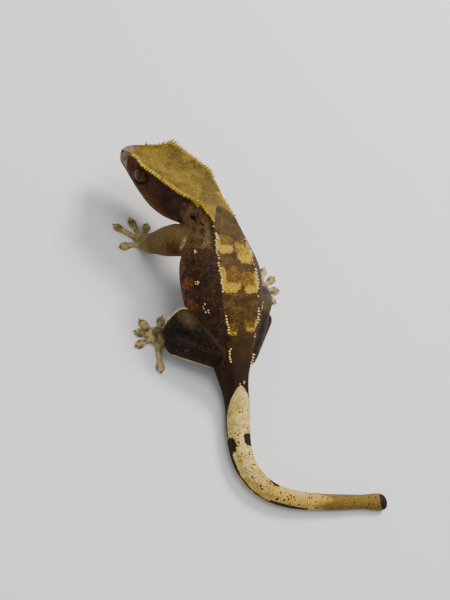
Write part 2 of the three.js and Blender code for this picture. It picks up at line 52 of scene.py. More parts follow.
def place(x, y, z):
    return Vector(((x + planShift[0]) * mm, (y + planShift[1]) * mm, (z + planShift[2]) * mm))


def clearSelection():
    if bpy.context.object and bpy.context.object.mode != "OBJECT":
        bpy.ops.object.mode_set(mode="OBJECT")
    bpy.ops.object.select_all(action="DESELECT")


def useOnly(obj):
    clearSelection()
    obj.select_set(True)
    bpy.context.view_layer.objects.active = obj


def smoothStep(x, low, high):
    t = np.clip((np.asarray(x, float) - low) / (high - low), 0, 1)
    return t * t * (3 - 2 * t)


def bump(x, middle, width):
    return np.exp(-(((np.asarray(x, float) - middle) / width) ** 2))


# camera

camera = {
    "elevation": 50.0,
    "azimuth": 44.0,
    "trunkPitch": 15.0,
    "trunkSlant": -0.04,
    "lens": 54.0,
    "pixelsPerMetre": 3100.0,
    "target": (0.0, 22.0, 13.0),
    "targetPixel": (236.0, 305.0),
    "frame": (450, 600),
}


def makeCamera():
    c = camera
    e, a, p = (math.radians(c[k]) for k in ("elevation", "azimuth", "trunkPitch"))
    back = Vector((-math.sin(a) * math.cos(e), -math.cos(a) * math.cos(e), math.sin(e)))
    ahead = Vector((0, math.cos(p), math.sin(p)))
    ahead = (ahead - back * ahead.dot(back)).normalized()
    across = ahead.cross(back).normalized()
    slant = c["trunkSlant"]
    up = (ahead * math.sqrt(1 - slant * slant) - across * slant).normalized()
    right = up.cross(back)
    focal = c["lens"] / 36 * c["frame"][1]
    distance = focal / c["pixelsPerMetre"]
    u = (c["targetPixel"][0] - c["frame"][0] / 2) / focal * distance
    v = -(c["targetPixel"][1] - c["frame"][1] / 2) / focal * distance
    eye = place(*c["target"]) - right * u - up * v + back * distance
    data = bpy.data.cameras.new("camera")
    data.lens = c["lens"]
    data.clip_start, data.clip_end = 0.005, 20
    cam = bpy.data.objects.new("camera", data)
    bpy.context.collection.objects.link(cam)
    turn = Matrix((right, up, back)).transposed().to_4x4()
    turn.translation = eye
    cam.matrix_world = turn
    bpy.context.scene.camera = cam


makeCamera()
print("camera set")


# centre of each trunk section from nape to tail tip, with its half width and half height
trunk = {
    "line": [
        (-16.2, 59.6, 20.6, 6.2, 5.0), (-13.6, 55.6, 21.3, 7.5, 6.0), (-10.6, 50.8, 21.5, 7.9, 6.6),
        (-8.0, 46.0, 20.9, 8.2, 6.9), (-6.8, 40.6, 19.2, 11.0, 7.9), (-6.0, 34.2, 17.2, 14.2, 8.9),
        (-5.0, 27.0, 15.0, 14.6, 9.3), (-4.0, 19.6, 12.5, 13.2, 8.8), (-2.9, 12.8, 10.0, 9.8, 7.5),
        (-2.0, 6.6, 7.8, 7.2, 6.3), (-1.5, 1.0, 5.9, 5.0, 5.3), (-0.8, -4.4, 4.5, 4.0, 4.5),
        (-0.7, -10.2, 3.8, 3.8, 3.9), (-1.5, -16.4, 3.5, 3.7, 3.7), (-1.9, -22.6, 3.3, 3.5, 3.5),
        (-1.0, -28.2, 3.1, 3.3, 3.3), (1.6, -33.0, 3.0, 3.2, 3.2), (6.0, -36.6, 2.8, 3.0, 3.0),
        (11.8, -38.8, 2.7, 2.8, 2.8), (18.4, -39.8, 2.5, 2.7, 2.6), (25.6, -40.2, 2.3, 2.5, 2.4),
        (33.0, -40.3, 2.1, 2.4, 2.2), (40.0, -40.3, 1.9, 2.3, 2.0), (45.4, -40.4, 1.7, 2.8, 1.8),
        (49.4, -40.5, 1.5, 2.6, 1.6),
    ],
    "ridgeAngle": 1.03,
    "ridgeHeight": 0.5,
    "tipRound": 0.62,
    "lean": math.radians(9),
    "roundness": 0.9,
}

head = {
    "origin": Vector((-13.6, 56.5, 27.6)),
    "turn": math.radians(43),
    "dip": math.radians(12),
    "length": 31.0,
    "snoutRound": 2.6,
    "sizes": ("back", "top", "crest", "crestOut", "cheek", "lip", "throat"),
    "stations": [
        (0, -5.4, -5.2, 1.9, 3.1, 3, -9.4),
        (4, -3.9, -3.5, 3, 4.6, 4.7, -10.6),
        (8.5, -2.2, -1.3, 4.9, 6.4, 6.6, -12),
        (13, -0.8, 0.8, 8.3, 8, 8.4, -13.4),
        (19, -0.5, 0.8, 8.5, 10, 10.2, -14.6),
        (25, -0.5, 0.6, 8.5, 11, 10.6, -14.8),
        (29, -0.7, 0.4, 8.2, 10.4, 9.8, -14.4),
        (31.5, -1, -0.2, 6.9, 9.6, 9, -13.9),
        (34.5, -1.8, -1.2, 5.9, 8, 7.4, -12.8),
        (38, -3.6, -3.2, 5, 6.2, 5.6, -11.4),
    ],
    "mouthFront": -7.3,
    "mouthRear": -8.6,
    "mouthLength": 20.0,
    "eyeBack": 13.2,
    "eyeOut": 5.5,
    "eyeDown": -4.7,
    "eyeRadius": 3.35,
    "rimRadius": 3.0,
    "rimThickness": 0.5,
    "rimLift": 1.5,
    "nostril": (1.6, 2.1, -5.6),
    "leftEar": (2.2, 2.84),
    "rightEar": (33.6, 8.0, -5.4),
}

limbs = {
    "left_arm": {
        "joints": [(-12.0, 42.4, 17.4), (-18.6, 43.6, 14.4), (-22.8, 48.0, 4.4)],
        "radii": (5.2, 5.3, 3.4),
        "web": None,
        "palm": (-24.0, 50.4, 1.5),
        "digits": [(-32.6, 47.8), (-33.9, 56.4), (-27.8, 59.8), (-21.5, 58.6), (-18.4, 53.6)],
    },
    "right_arm": {
        "joints": [(-0.6, 42.2, 17.0), (6.0, 43.0, 10.8), (5.4, 50.0, 4.2)],
        "radii": (4.4, 4.0, 3.0),
        "web": None,
        "palm": (6.2, 52.6, 1.5),
        "digits": [(-0.6, 56.0), (2.8, 60.8), (7.8, 62.6), (12.4, 60.2), (14.6, 55.4)],
    },
    "left_leg": {
        "joints": [(-6.8, 7.4, 8.6), (-18.6, 16.0, 11.6), (-22.2, 13.0, 3.6)],
        "radii": (5.0, 3.3, 2.6),
        "web": ((-19.6, 10.2, 6.4), (-8.2, 6.2, 8.4), 3.9, 4.4),
        "palm": (-23.6, 15.0, 1.6),
        "digits": [(-23.8, 2.6), (-31.2, 11.4), (-31.0, 16.6), (-28.8, 20.8), (-20.8, 22.6)],
    },
    "right_leg": {
        "joints": [(2.6, 8.0, 8.8), (11.0, 24.2, 11.6), (16.6, 33.8, 3.6)],
        "radii": (4.6, 3.2, 2.6),
        "web": ((12.0, 20.0, 8.0), (3.2, 6.8, 8.4), 3.2, 3.8),
        "palm": (17.8, 36.2, 1.6),
        "digits": [(23.6, 31.6), (26.0, 36.8), (25.2, 42.2), (21.6, 45.6), (14.8, 45.0)],
    },
}

foot = {
    "palmRadius": 3.3,
    "toeRoot": (1.3, 1.2),                                  # half width and half height at the palm
    "toeHalfWidth": 0.9,
    "toeHalfHeight": 0.8,
    "padLength": 3.8,
    # the pad toward its tip: distance still to go, half width and half height
    "pad": [(2.9, 1.353, 0.72), (1.7, 1.65, 0.66), (0.7, 1.4025, 0.6), (0.15, 0.75, 0.45), (-0.1, 0.3, 0.3)],
    "clawLength": 1.15,
    "clawRadius": 0.26,
    "clawSetBack": 0.35,
    "clawHeight": 0.78,
}


def catmull(values, at):
    values = np.asarray(values, float)
    last = len(values) - 1
    at = np.asarray(at, float)
    i = np.clip(np.floor(at).astype(int), 0, last - 1)
    t = (at - i).reshape(at.shape + (1,) * (values.ndim - 1))
    a, b = values[np.maximum(i - 1, 0)], values[i]
    c, d = values[i + 1], values[np.minimum(i + 2, last)]
    return smoothBetween(a, b, c, d, t)


def smoothBetween(a, b, c, d, t):
    return 0.5 * (2 * b + (c - a) * t + (2 * a - 5 * b + 4 * c - d) * t * t + (3 * b - a - 3 * c + d) * t ** 3)


trunkLast = len(trunk["line"]) - 1
trunkSteps = np.linspace(0, trunkLast, 480)


def ridgeAngle(at):
    return trunk["ridgeAngle"] + 0.1 * bump(at, 5.5, 1.8) - 0.12 * smoothStep(at, 8, 9.5)


def unit(v):
    return v / np.linalg.norm(v, axis=-1, keepdims=True)


def trunkFrames(at):
    at = np.atleast_1d(np.asarray(at, float))
    sizes = catmull(trunk["line"], at)
    ahead = catmull(trunk["line"], np.maximum(at - 0.02, 0))[:, :3]
    behind = catmull(trunk["line"], np.minimum(at + 0.02, trunkLast))[:, :3]
    forward = unit(ahead - behind)
    right = unit(np.stack([forward[:, 1], -forward[:, 0], np.zeros(len(at))], 1))
    lean = trunk["lean"] * smoothStep(at, 1.5, 4.5) * (1 - smoothStep(at, 8.5, 11.5))
    level = np.cross(right, forward)
    right = right * np.cos(lean)[:, None] - level * np.sin(lean)[:, None]
    up = np.cross(right, forward)
    return sizes[:, :3], sizes[:, 3], sizes[:, 4], forward, right, up


def trunkPoints(at, angle, grow=0.0):
    at, angle = np.broadcast_arrays(np.asarray(at, float), np.asarray(angle, float))
    centre, wide, high, _, right, up = trunkFrames(at)
    c, s = np.cos(angle), np.sin(angle)
    across = np.sign(c) * np.abs(c) ** trunk["roundness"] * (wide + grow)
    upward = np.sign(s) * np.abs(s) ** trunk["roundness"] * (high + grow)
    fromRidge = np.minimum(np.abs(angle - ridgeAngle(at)), np.abs(np.pi - ridgeAngle(at) - angle))
    onBack = 1 - smoothStep(at, 9.5, 12)
    upward = upward + onBack * trunk["ridgeHeight"] * np.exp(-((fromRidge / 0.22) ** 2))
    left = trunkLast - at
    rounding = np.where(left < trunk["tipRound"],
                        np.sqrt(np.clip(1 - (1 - left / trunk["tipRound"]) ** 2, 0, 1)), 1)
    rounding = np.maximum(rounding, 0.12)
    points = centre + right * (across * rounding)[:, None] + up * (upward * rounding)[:, None]
    points[:, 2] = np.maximum(points[:, 2], -grow)
    return points


def headAxes():
    heading = np.array([-math.sin(head["turn"]), math.cos(head["turn"]), 0])
    forward = heading * math.cos(head["dip"]) + np.array([0, 0, -math.sin(head["dip"])])
    right = np.array([heading[1], -heading[0], 0])
    return forward, right, np.cross(right, forward)


headForward, headRight, headUp = headAxes()


def headPoints(back, out, height):
    back, out, height = (np.asarray(v, float)[..., None] for v in (back, out, height))
    return np.array(head["origin"]) + headForward * (head["length"] - back) + headRight * out + headUp * height


def headLocal(points):
    d = points - np.array(head["origin"])
    return head["length"] - d @ headForward, d @ headRight, d @ headUp


def headSize(name, back):
    column = head["sizes"].index(name)
    backs = [s[0] for s in head["stations"]]
    at = np.interp(back, backs, np.arange(len(backs)))
    return catmull([s[column] for s in head["stations"]], at)


def snoutShare(back):
    back = np.asarray(back, float)
    return np.where(back < head["snoutRound"],
                    np.sqrt(np.clip(1 - (1 - back / head["snoutRound"]) ** 2, 0, 1)), 1)


def mouthHeight(back):
    share = np.clip(np.asarray(back, float) / head["mouthLength"], 0, 1)
    return head["mouthFront"] + (head["mouthRear"] - head["mouthFront"]) * share ** 0.8


def headKeys(back):
    share = float(snoutShare(back))
    top, crest, throat = (float(headSize(n, back)) for n in ("top", "crest", "throat"))
    crestOut, cheek, lip = (float(headSize(n, back)) * share for n in ("crestOut", "cheek", "lip"))
    centre = head["mouthFront"] + 0.3
    line = float(mouthHeight(back))
    half = [
        (0, top), (crestOut * 0.55, top + (crest - top) * 0.3), (crestOut, crest),
        (crestOut * 0.35 + cheek * 0.5, crest * 0.6 + line * 0.4), (cheek, line + 1.7),
        (lip * 1.02, line + 0.5), (lip * 0.97, line - 0.8), (lip * 0.72, throat + 1.2), (0, throat),
    ]
    squeeze = 0.35 + 0.65 * share
    half = [(out, centre + (height - centre) * squeeze) for out, height in half]
    return np.array(half + [(-out, height) for out, height in half[-2:0:-1]])


def headSection(back, turns):
    keys = headKeys(back)
    n = len(keys)
    at = np.asarray(turns) * n
    i = np.floor(at).astype(int)
    t = (at - i)[:, None]
    return smoothBetween(*(keys[(i + k) % n] for k in (-1, 0, 1, 2)), t)


# skin

skin = {
    "voxel": 0.385,
    "smoothing": {"factor": 0.5, "iterations": 4},
    "trunkSegments": 96,
    "trunkRings": 420,
    "headSegments": 96,
    "headRings": 120,
    "limbSegments": 32,
    "limbRings": 40,
    "limbFloor": 0.6,
    "upperBulge": 0.3,
    "lowerBulge": 0.35,
}


def unitBall(name, segments, rings):
    clearSelection()
    bpy.ops.mesh.primitive_uv_sphere_add(segments=segments, ring_count=rings, radius=1, location=(0, 0, 0))
    obj = bpy.context.object
    obj.name = name
    co = np.empty(len(obj.data.vertices) * 3)
    obj.data.vertices.foreach_get("co", co)
    co = co.reshape(-1, 3)
    share = np.arccos(np.clip(co[:, 2], -1, 1)) / np.pi
    angle = np.arctan2(co[:, 1], co[:, 0]) % (2 * np.pi)
    pole = (share < 0.2 / rings) | (share > 1 - 0.2 / rings)
    return obj, share, angle, pole


def setPoints(obj, points):
    shifted = (points + np.array(planShift)) * mm
    obj.data.vertices.foreach_set("co", shifted.reshape(-1))
    obj.data.update()


def trunkForm():
    obj, share, angle, pole = unitBall("trunk_form", skin["trunkSegments"], skin["trunkRings"])
    first = 1 / skin["trunkRings"]
    at = np.clip((share - first) / (1 - 2 * first), 0, 1) * trunkLast
    points = trunkPoints(at, angle)
    centre = trunkFrames(at)[0]
    points[pole] = centre[pole]
    setPoints(obj, points)
    return obj


def headForm():
    obj, share, angle, pole = unitBall("head_form", skin["headSegments"], skin["headRings"])
    last = head["stations"][-1][0]
    first = 1 / skin["headRings"]
    along = np.clip((share - first) / (1 - 2 * first), 0, 1)
    back = 0.03 + (last - 0.03) * (0.35 * along ** 2 + 0.65 * along)
    points = np.empty((len(share), 3))
    for value in np.unique(np.round(along, 6)):
        chosen = np.abs(along - value) < 1e-6
        depth = float(back[chosen][0])
        section = headSection(depth, angle[chosen] / (2 * np.pi))
        points[chosen] = headPoints(np.full(chosen.sum(), depth), section[:, 0], section[:, 1])
        middle = headPoints(depth, 0, float(headKeys(depth)[:, 1].mean()))
        points[chosen & pole] = middle
    setPoints(obj, points)
    return obj


def limbForm(name, start, end, radiusFrom, radiusTo, bulge):
    obj, share, angle, _ = unitBall(name, skin["limbSegments"], skin["limbRings"])
    start, end = np.array(start, float), np.array(end, float)
    length = np.linalg.norm(end - start)
    along = (end - start) / length
    side = unit(np.array([along[1], -along[0], 0.0]))
    over = np.cross(side, along)
    reach = -radiusFrom + (length + radiusFrom + radiusTo) * share
    t = np.clip(reach / length, 0, 1)
    radius = radiusFrom + (radiusTo - radiusFrom) * t + bulge * np.sin(np.pi * np.minimum(t * 1.3, 1))
    radius = np.where(reach < 0, radiusFrom * np.sqrt(np.clip(1 - (reach / radiusFrom) ** 2, 0, 1)), radius)
    beyond = (reach - length) / radiusTo
    radius = np.where(reach > length, radiusTo * np.sqrt(np.clip(1 - beyond ** 2, 0, 1)), radius)
    points = start + along * reach[:, None] + side * (radius * np.cos(angle))[:, None]
    points += over * (radius * np.sin(angle))[:, None]
    points[:, 2] = np.maximum(points[:, 2], skin["limbFloor"])
    setPoints(obj, points)
    return obj


def toeForm(name, palm, tip):
    obj, share, angle, pole = unitBall(name, 24, 40)
    start, end = np.array([palm[0], palm[1]]), np.array(tip, float)
    length = np.linalg.norm(end - start)
    along = np.append((end - start) / length, 0)
    side = np.array([along[1], -along[0], 0])
    padStart = length - foot["padLength"]
    wide, high = foot["toeHalfWidth"], foot["toeHalfHeight"]
    profile = [(0, *foot["toeRoot"]), (padStart * 0.55, wide, high), (padStart, wide * 0.95, high)]
    profile += [(length - toGo, halfWidth, halfHeight) for toGo, halfWidth, halfHeight in foot["pad"]]
    reaches, wides, highs = np.array(profile).T
    reach = share * reaches[-1]
    wide, high = np.interp(reach, reaches, wides), np.interp(reach, reaches, highs)
    centre = np.append(start, 0) + along * reach[:, None]
    points = centre + side * (wide * np.cos(angle))[:, None]
    points[:, 2] = high + 1.08 * high * np.sin(angle)
    points[pole, 2] = high[pole]
    points[:, 2] = np.maximum(points[:, 2], 0)
    setPoints(obj, points)
    return obj


def palmForm(name, palm):
    obj, share, angle, _ = unitBall(name, 32, 20)
    polar = share * np.pi
    r = foot["palmRadius"]
    points = np.stack([palm[0] + r * np.sin(polar) * np.cos(angle),
                       palm[1] + r * np.sin(polar) * np.sin(angle),
                       palm[2] + palm[2] * np.cos(polar)], 1)
    setPoints(obj, points)
    return obj


# the low ring of scales that frames the clear eye cap
def rimForm(name, sign):
    clearSelection()
    bpy.ops.mesh.primitive_torus_add(major_segments=48, minor_segments=12,
                                     major_radius=head["rimRadius"], minor_radius=head["rimThickness"])
    obj = bpy.context.object
    obj.name = name
    x, y, z = np.array([v.co[:] for v in obj.data.vertices]).T
    centre = headPoints(head["eyeBack"], sign * (head["eyeOut"] + head["rimLift"]), head["eyeDown"])
    setPoints(obj, centre + np.outer(x, headForward) + np.outer(y, headUp) + np.outer(z, headRight))
    return obj


def joinForms(forms, name):
    clearSelection()
    for form in forms:
        form.select_set(True)
    bpy.context.view_layer.objects.active = forms[0]
    bpy.ops.object.join()
    obj = bpy.context.object
    obj.name = name
    obj.data.name = name
    return obj


def applyModifier(obj, kind, **settings):
    useOnly(obj)
    modifier = obj.modifiers.new(kind.lower(), kind)
    for key, value in settings.items():
        setattr(modifier, key, value)
    bpy.ops.object.modifier_apply(modifier=modifier.name)


def eyeCentre(sign):
    return headPoints(head["eyeBack"], sign * head["eyeOut"], head["eyeDown"])


def readPoints(obj):
    co = np.empty(len(obj.data.vertices) * 3)
    obj.data.vertices.foreach_get("co", co)
    return co.reshape(-1, 3) / mm - np.array(planShift)


def nostrilPlace(sign):
    back, out, height = head["nostril"]
    return headPoints(back, sign * out, height)


# the bent neck bares the left ear and tucks in the right one
def earPlace(sign):
    if sign < 0:
        return trunkPoints([head["leftEar"][0]], [head["leftEar"][1]])[0]
    return headPoints(*head["rightEar"])


carving = {
    "socketGap": 0.55,
    "socketRadius": 2.75,
    "socketFloor": 0.4,
    "lipWidth": 0.28,
    "lipDepth": 0.34,
    "nostrilRadius": 0.42,
    "nostrilDepth": 0.55,
    "earSize": (0.6, 1.1, 1.6),
    "earDepth": 1.0,
}


def towardMidline(back, out):
    pull = -headRight * np.sign(out)[:, None] * (np.abs(out) > 0.3)[:, None]
    pull = pull * np.clip(np.abs(out) / 3, 0, 1)[:, None]
    return unit(pull - headForward * np.clip(1.6 - back / 2, 0.001, 1.6)[:, None])


# eye hollows, mouth line, nostrils, ears and level soles
def carveSkin(obj):
    p = readPoints(obj)
    for sign in (-1, 1):
        d = p - eyeCentre(sign)
        outward = (d * headRight * sign).sum(1)
        inside = (np.linalg.norm(d, axis=1) < head["eyeRadius"] + carving["socketGap"]) & (outward > -1.0)
        hollow = inside & (np.hypot(d @ headForward, d @ headUp) < carving["socketRadius"])
        p[hollow] -= headRight * sign * np.maximum(outward[hollow] - carving["socketFloor"], 0)[:, None]
    back, out, height = headLocal(p)
    lipBack = np.clip(back, 0, 34)
    lipSide = np.abs(out) > headSize("lip", lipBack) * snoutShare(lipBack) * 0.8
    lip = bump(height - mouthHeight(back), 0, carving["lipWidth"]) * (back > -0.5)
    lip = lip * (1 - smoothStep(back, 19.4, 20.6)) * (lipSide | (back < 1.5))
    inward = towardMidline(back, out)
    p += inward * (carving["lipDepth"] * lip)[:, None]
    for sign in (-1, 1):
        nose = np.linalg.norm(p - nostrilPlace(sign), axis=1)
        p += inward * (carving["nostrilDepth"] * bump(nose, 0, carving["nostrilRadius"]))[:, None]
        d = p - earPlace(sign)
        axes = zip((headForward, headUp, headRight), carving["earSize"])
        ear = np.sqrt(sum((d @ axis / size) ** 2 for axis, size in axes))
        p += inward * (carving["earDepth"] * np.exp(-(ear ** 2.5)))[:, None]
    p[:, 2] = np.maximum(p[:, 2], 0)
    setPoints(obj, p)


def makeSkin():
    forms = [trunkForm(), headForm()]
    for name, limb in limbs.items():
        root, bend, end = limb["joints"]
        thick, mid, thin = limb["radii"]
        forms.append(limbForm(name + "_upper", root, bend, thick, mid, skin["upperBulge"]))
        forms.append(limbForm(name + "_lower", bend, end, mid, thin, skin["lowerBulge"]))
        if limb["web"]:
            a, b, ra, rb = limb["web"]
            forms.append(limbForm(name + "_web", a, b, ra, rb, 0))
        forms.append(palmForm(name + "_palm", limb["palm"]))
        for i, tip in enumerate(limb["digits"]):
            forms.append(toeForm(f"{name}_toe_{i}", limb["palm"], tip))
    for sign in (-1, 1):
        forms.append(rimForm("eye_rim", sign))
    body = joinForms(forms, "gecko_skin")
    applyModifier(body, "REMESH", mode="VOXEL", voxel_size=skin["voxel"] * mm)
    applyModifier(body, "SMOOTH", **skin["smoothing"])
    carveSkin(body)
    print("skin fused,", len(body.data.polygons), "faces")
    return body


body = makeSkin()
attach(body, "root")
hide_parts("head", "neck", "torso_front", "torso_rear", "tail_base", "tail_middle", "tail_end",
            "left_upper_arm", "left_forearm", "left_hand", "right_upper_arm", "right_forearm", "right_hand",
            "left_thigh", "left_shank", "left_foot", "right_thigh", "right_shank", "right_foot")
useOnly(body)
bpy.ops.object.shade_smooth()


# where each patch of skin lies

def trunkPlace(points):
    at = trunkSteps
    centre, wide, high, _, right, up = trunkFrames(at)
    nearest = np.empty(len(points), int)
    for i in range(0, len(points), 20000):
        d = points[i:i + 20000, None, :] - centre[None]
        nearest[i:i + 20000] = (d ** 2).sum(-1).argmin(1)
    d = points - centre[nearest]
    x = (d * right[nearest]).sum(1) / wide[nearest]
    y = (d * up[nearest]).sum(1) / high[nearest]
    off = (np.hypot(x, y) - 1) * (wide[nearest] + high[nearest]) / 2
    return at[nearest], np.arctan2(y, x), off


def rodDistance(points, start, end, radiusFrom, radiusTo):
    start, end = np.array(start, float), np.array(end, float)
    run = end - start
    t = np.clip((points - start) @ run / (run @ run), 0, 1)
    radius = radiusFrom + (radiusTo - radiusFrom) * t
    return np.linalg.norm(points - start - t[:, None] * run, axis=1) - radius, t


def limbDistance(points):
    best = np.full(len(points), 99.0)
    part = np.zeros(len(points))
    isLeg = np.zeros(len(points))
    for name, limb in limbs.items():
        root, bend, end = limb["joints"]
        thick, mid, thin = limb["radii"]
        rods = [(root, bend, thick, mid, 0), (bend, end, mid, thin, 1), (end, limb["palm"], thin, 2.8, 2)]
        if limb["web"]:
            rods.append((*limb["web"], 0.5))
        rods += [(limb["palm"], (*tip, 0.6), 1.6, 1.3, 3) for tip in limb["digits"]]
        for start, stop, ra, rb, kind in rods:
            d, t = rodDistance(points, start, stop, ra, rb)
            value = kind + (t if kind in (0, 1, 3) else 0)
            closer = d < best
            best = np.where(closer, d, best)
            part = np.where(closer, value, part)
            isLeg = np.where(closer, float("leg" in name), isLeg)
    return best, part, isLeg


# paired blotches of the back: side (1 left, -1 right), middle and half length along the trunk,
# middle and half width in ridge spacings, how bright the blotch is and how yellow it is inside
blotches = [
    (1, 4.20, 0.62, 0.62, 0.60, 1.0, 0.0),
    (-1, 4.60, 0.66, 0.64, 0.62, 1.0, 0.55),
    (1, 5.84, 0.64, 0.60, 0.60, 1.0, 0.0),
    (-1, 5.98, 0.52, 0.66, 0.54, 0.95, 0.4),
    (1, 7.86, 0.36, 0.76, 0.40, 0.6, 0.0),
    (-1, 7.72, 0.36, 0.62, 0.56, 0.7, 0.0),
]

# rust blotches of the flanks: middle and half length along the trunk, turn from the spine line and half width
rustBlotches = [
    (5.12, 0.36, 1.74, 0.22),
    (5.90, 0.24, 1.52, 0.28),
    (6.30, 0.20, 1.95, 0.20),
    (6.76, 0.28, 1.54, 0.26),
    (7.50, 0.22, 1.95, 0.22),
]

# dark saddles of the tail: place and half length along it, angle and half width round it
saddles = [
    (13.98, 0.34, 3.15, 0.74),
    (14.60, 0.75, 3.45, 0.42),
    (13.80, 0.36, 0.85, 0.78),
    (16.98, 0.34, 0.60, 0.62),
    (18.10, 0.95, 3.05, 0.30),
    (23.40, 0.36, 1.75, 0.95),
]


# the ear slot and the fold behind it on the turned side of the neck, both darkened as painted shade, the rust
# patch of each elbow and the pale line behind the left one, a painted highlight on the rim of the arm
earMarks = [
    ((-16.7, 47.1, 23.6), (-15.5, 45.6, 23.9), 0.55, 1.0),
    ((-14.4, 43.6, 25.0), (-13.8, 42.9, 25.3), 0.4, 0.6),
]
elbowRust = [
    ((-21.2, 39.6, 15.4), 3.0),
    ((8.4, 39.8, 11.6), 2.6),
]
elbowHighlight = ((-19.2, 37.8, 16.4), (-17.9, 40.8, 20.0))

# where each mark fades in: along the trunk in stations, round it in radians
# or ridge spacings, on the head in mm
fades = {
    "limbEdge": (-0.2, 0.9), "limbReach": (0.9, 1.8), "palm": (1.75, 2.3), "kneeHeight": (11.0, 14.8),
    "headRear": (-36.5, -34.5), "headOnNeck": (3.0, 4.2), "headLift": (0.15, 0.6), "nape": (0.3, 0.8),
    "capDrop": (-0.95, -0.5), "capFront": (2.8, 4.6), "capRim": (-1.5, -0.3),
    "wideNeck": (2.6, 3.4), "ridge": (1.0, 1.22), "bandStart": (2.2, 2.4), "napeRim": (0.7, 1.0),
    "blotchTop": (-1.0, -0.1), "blotchFoot": (0.1, 0.62), "blotchSide": (0.15, 0.6), "blotchInner": (0.0, 0.12),
    "belly": (2.15, 2.6), "throat": (7.8, 11.5), "neckSide": (1.15, 1.6), "neckEnd": (4.2, 5.0),
    "snoutEnd": (4.0, 5.8), "snoutFoot": (-12.0, -10.4), "orangeTop": (-1.8, -0.3), "mouthEnd": (19.2, 20.4),
    "browTop": (-7.0, -1.5), "browFront": (7, 11), "cheekRear": (19, 25), "cheekTop": (-11, -6),
    "headToNeck": (21, 29), "tail": (10.4, 11.0), "creamEdge": (-0.05, 0.14), "creamStart": (10.5, 10.9),
    "streakStart": (11.5, 12.5), "farTailShade": (19.2, 20.3), "tipDark": (23.55, 23.8), "dimBack": (7.0, 8.8),
    "farther": (14.4, 17.5), "rump": (8.8, 10.6), "earEdge": (-0.15, 0.3), "highlightEdge": (0, 0.7),
}

# the masks, four to each colour layer of the skin
layers = {
    "coat": ("band", "patch", "patchRim", "rust"),
    "marks": ("cream", "saddle", "farTailShade", "tipDark"),
    "areas": ("limb", "leg", "palm", "belly"),
    "face": ("cap", "snout", "orange", "mouth"),
    "rings": ("run", "tail", "throat", "head"),
    "extra": ("capRim", "neckSide", "knee", "brow"),
    "more": ("holeShade", "elbow", "dimBack", "elbowHighlight"),
    "late": ("farther", "headToNeck", "rump", "spare"),
}
eyeLayers = {"iris": ("pupil", "radius", "plain", "opaque")}
tailScales = {
    "runSpan": 200.0,                                       # the run is kept as a share of this length
    "ringStep": 0.74,
    "dotStart": 0.36,
    "dotFade": 0.03,
}


def fade(x, name):
    return smoothStep(x, *fades[name])


def blob(a, halfA, b, halfB, power=3.0):                    # 1 inside a rounded patch, falling to 0 at its edge
    return 1 - smoothStep((np.abs(a) / halfA) ** power + (np.abs(b) / halfB) ** power, 0.1, 2.0)


def turnGap(angle, around):
    return np.abs((angle - around + np.pi) % (2 * np.pi) - np.pi)


def headMasks(back, out, height, onHead):
    onCap = np.clip(back, 0, head["stations"][-1][0])
    crestOut, crest, top = (headSize(name, onCap) for name in ("crestOut", "crest", "top"))
    capLow = top + (crest - top) * np.clip(np.abs(out) / crestOut, 0, 1) ** 2
    cap = onHead * fade(height - capLow, "capDrop") * fade(back, "capFront")
    bare = onHead * (1 - cap)
    brow = bare * fade(height, "browTop") * fade(back, "browFront")
    lower = 0.8 * np.minimum(height + 5, 0)                 # the pale snout reaches farther back low down
    return {
        "cap": cap,
        "capRim": cap * fade(np.abs(out) - crestOut, "capRim"),
        "throat": onHead * fade(-height, "throat"),
        "snout": onHead * (1 - fade(back + lower, "snoutEnd")) * fade(height, "snoutFoot"),
        "orange": onHead * bump(back, 5.0, 0.9) * fade(height - crest, "orangeTop"),
        # the dark mouth line is painted shade in the lip crease
        "mouth": onHead * bump(height - mouthHeight(back), 0, 0.3) * (1 - fade(back, "mouthEnd")),
        # brow mask: painted shade under the overhanging cap, high on the face and on the upper rear cheek
        "brow": np.maximum(brow, bare * fade(back, "cheekRear") * fade(height, "cheekTop")),
        "headToNeck": bare * fade(back + 0.5 * height, "headToNeck"),
    }


def blotchMasks(at, across, side, band):
    patch, rim = np.zeros(len(at)), np.zeros(len(at))
    for hand, middle, half, along, wide, strength, yellow in blotches:
        inside = blob(at - middle, half, across - along, wide)
        here = np.where(side == hand, inside, inside * (1 - fade(across, "blotchInner"))) * strength
        lower, outer = (at - middle) / half, (across - along) / wide
        here = here * (0.25 + 0.75 * fade(lower, "blotchTop"))
        edge = np.maximum(fade(lower, "blotchFoot"), fade(outer, "blotchSide"))
        patch = np.maximum(patch, here)
        rim = np.maximum(rim, here * np.maximum(edge, yellow))
    return {"patch": patch * band, "patchRim": rim * band}


def tailMasks(at, angle, onLimb, onTail):
    # the pale tail opens in a point on the rump and closes round the sides
    cream = fade(at - 10.8 - 0.95 * turnGap(angle, 1.7) ** 1.3, "creamEdge") * (1 - onLimb)
    saddle = np.zeros(len(at))
    for middle, half, around, spread in saddles:
        saddle = np.maximum(saddle, blob(at - middle, half, turnGap(angle, around), spread))
    streak = bump(turnGap(angle, 3.32), 0, 0.16) * fade(at, "streakStart")
    return {
        "cream": cream * fade(at, "creamStart"),
        "saddle": np.maximum(saddle, streak) * onTail,
        # the darker olive far end of the tail is painted shade
        "farTailShade": onTail * fade(at + 0.35 * np.sin(angle * 3), "farTailShade"),
        "tipDark": onTail * fade(at + 0.35 * np.cos(angle * 2 + 0.5), "tipDark"),
    }


def holeShadeMask(p):                                            # painted shade in the ears, nostrils and the fold behind the left ear
    holeShade = bump(np.linalg.norm(p - earPlace(1), axis=1), 0, 0.85)
    for sign in (-1, 1):
        holeShade = np.maximum(holeShade, bump(np.linalg.norm(p - nostrilPlace(sign), axis=1), 0, 0.6))
    for start, end, radius, strength in earMarks:
        away = rodDistance(p, start, end, radius, radius)[0]
        holeShade = np.maximum(holeShade, strength * (1 - fade(away, "earEdge")))
    return holeShade


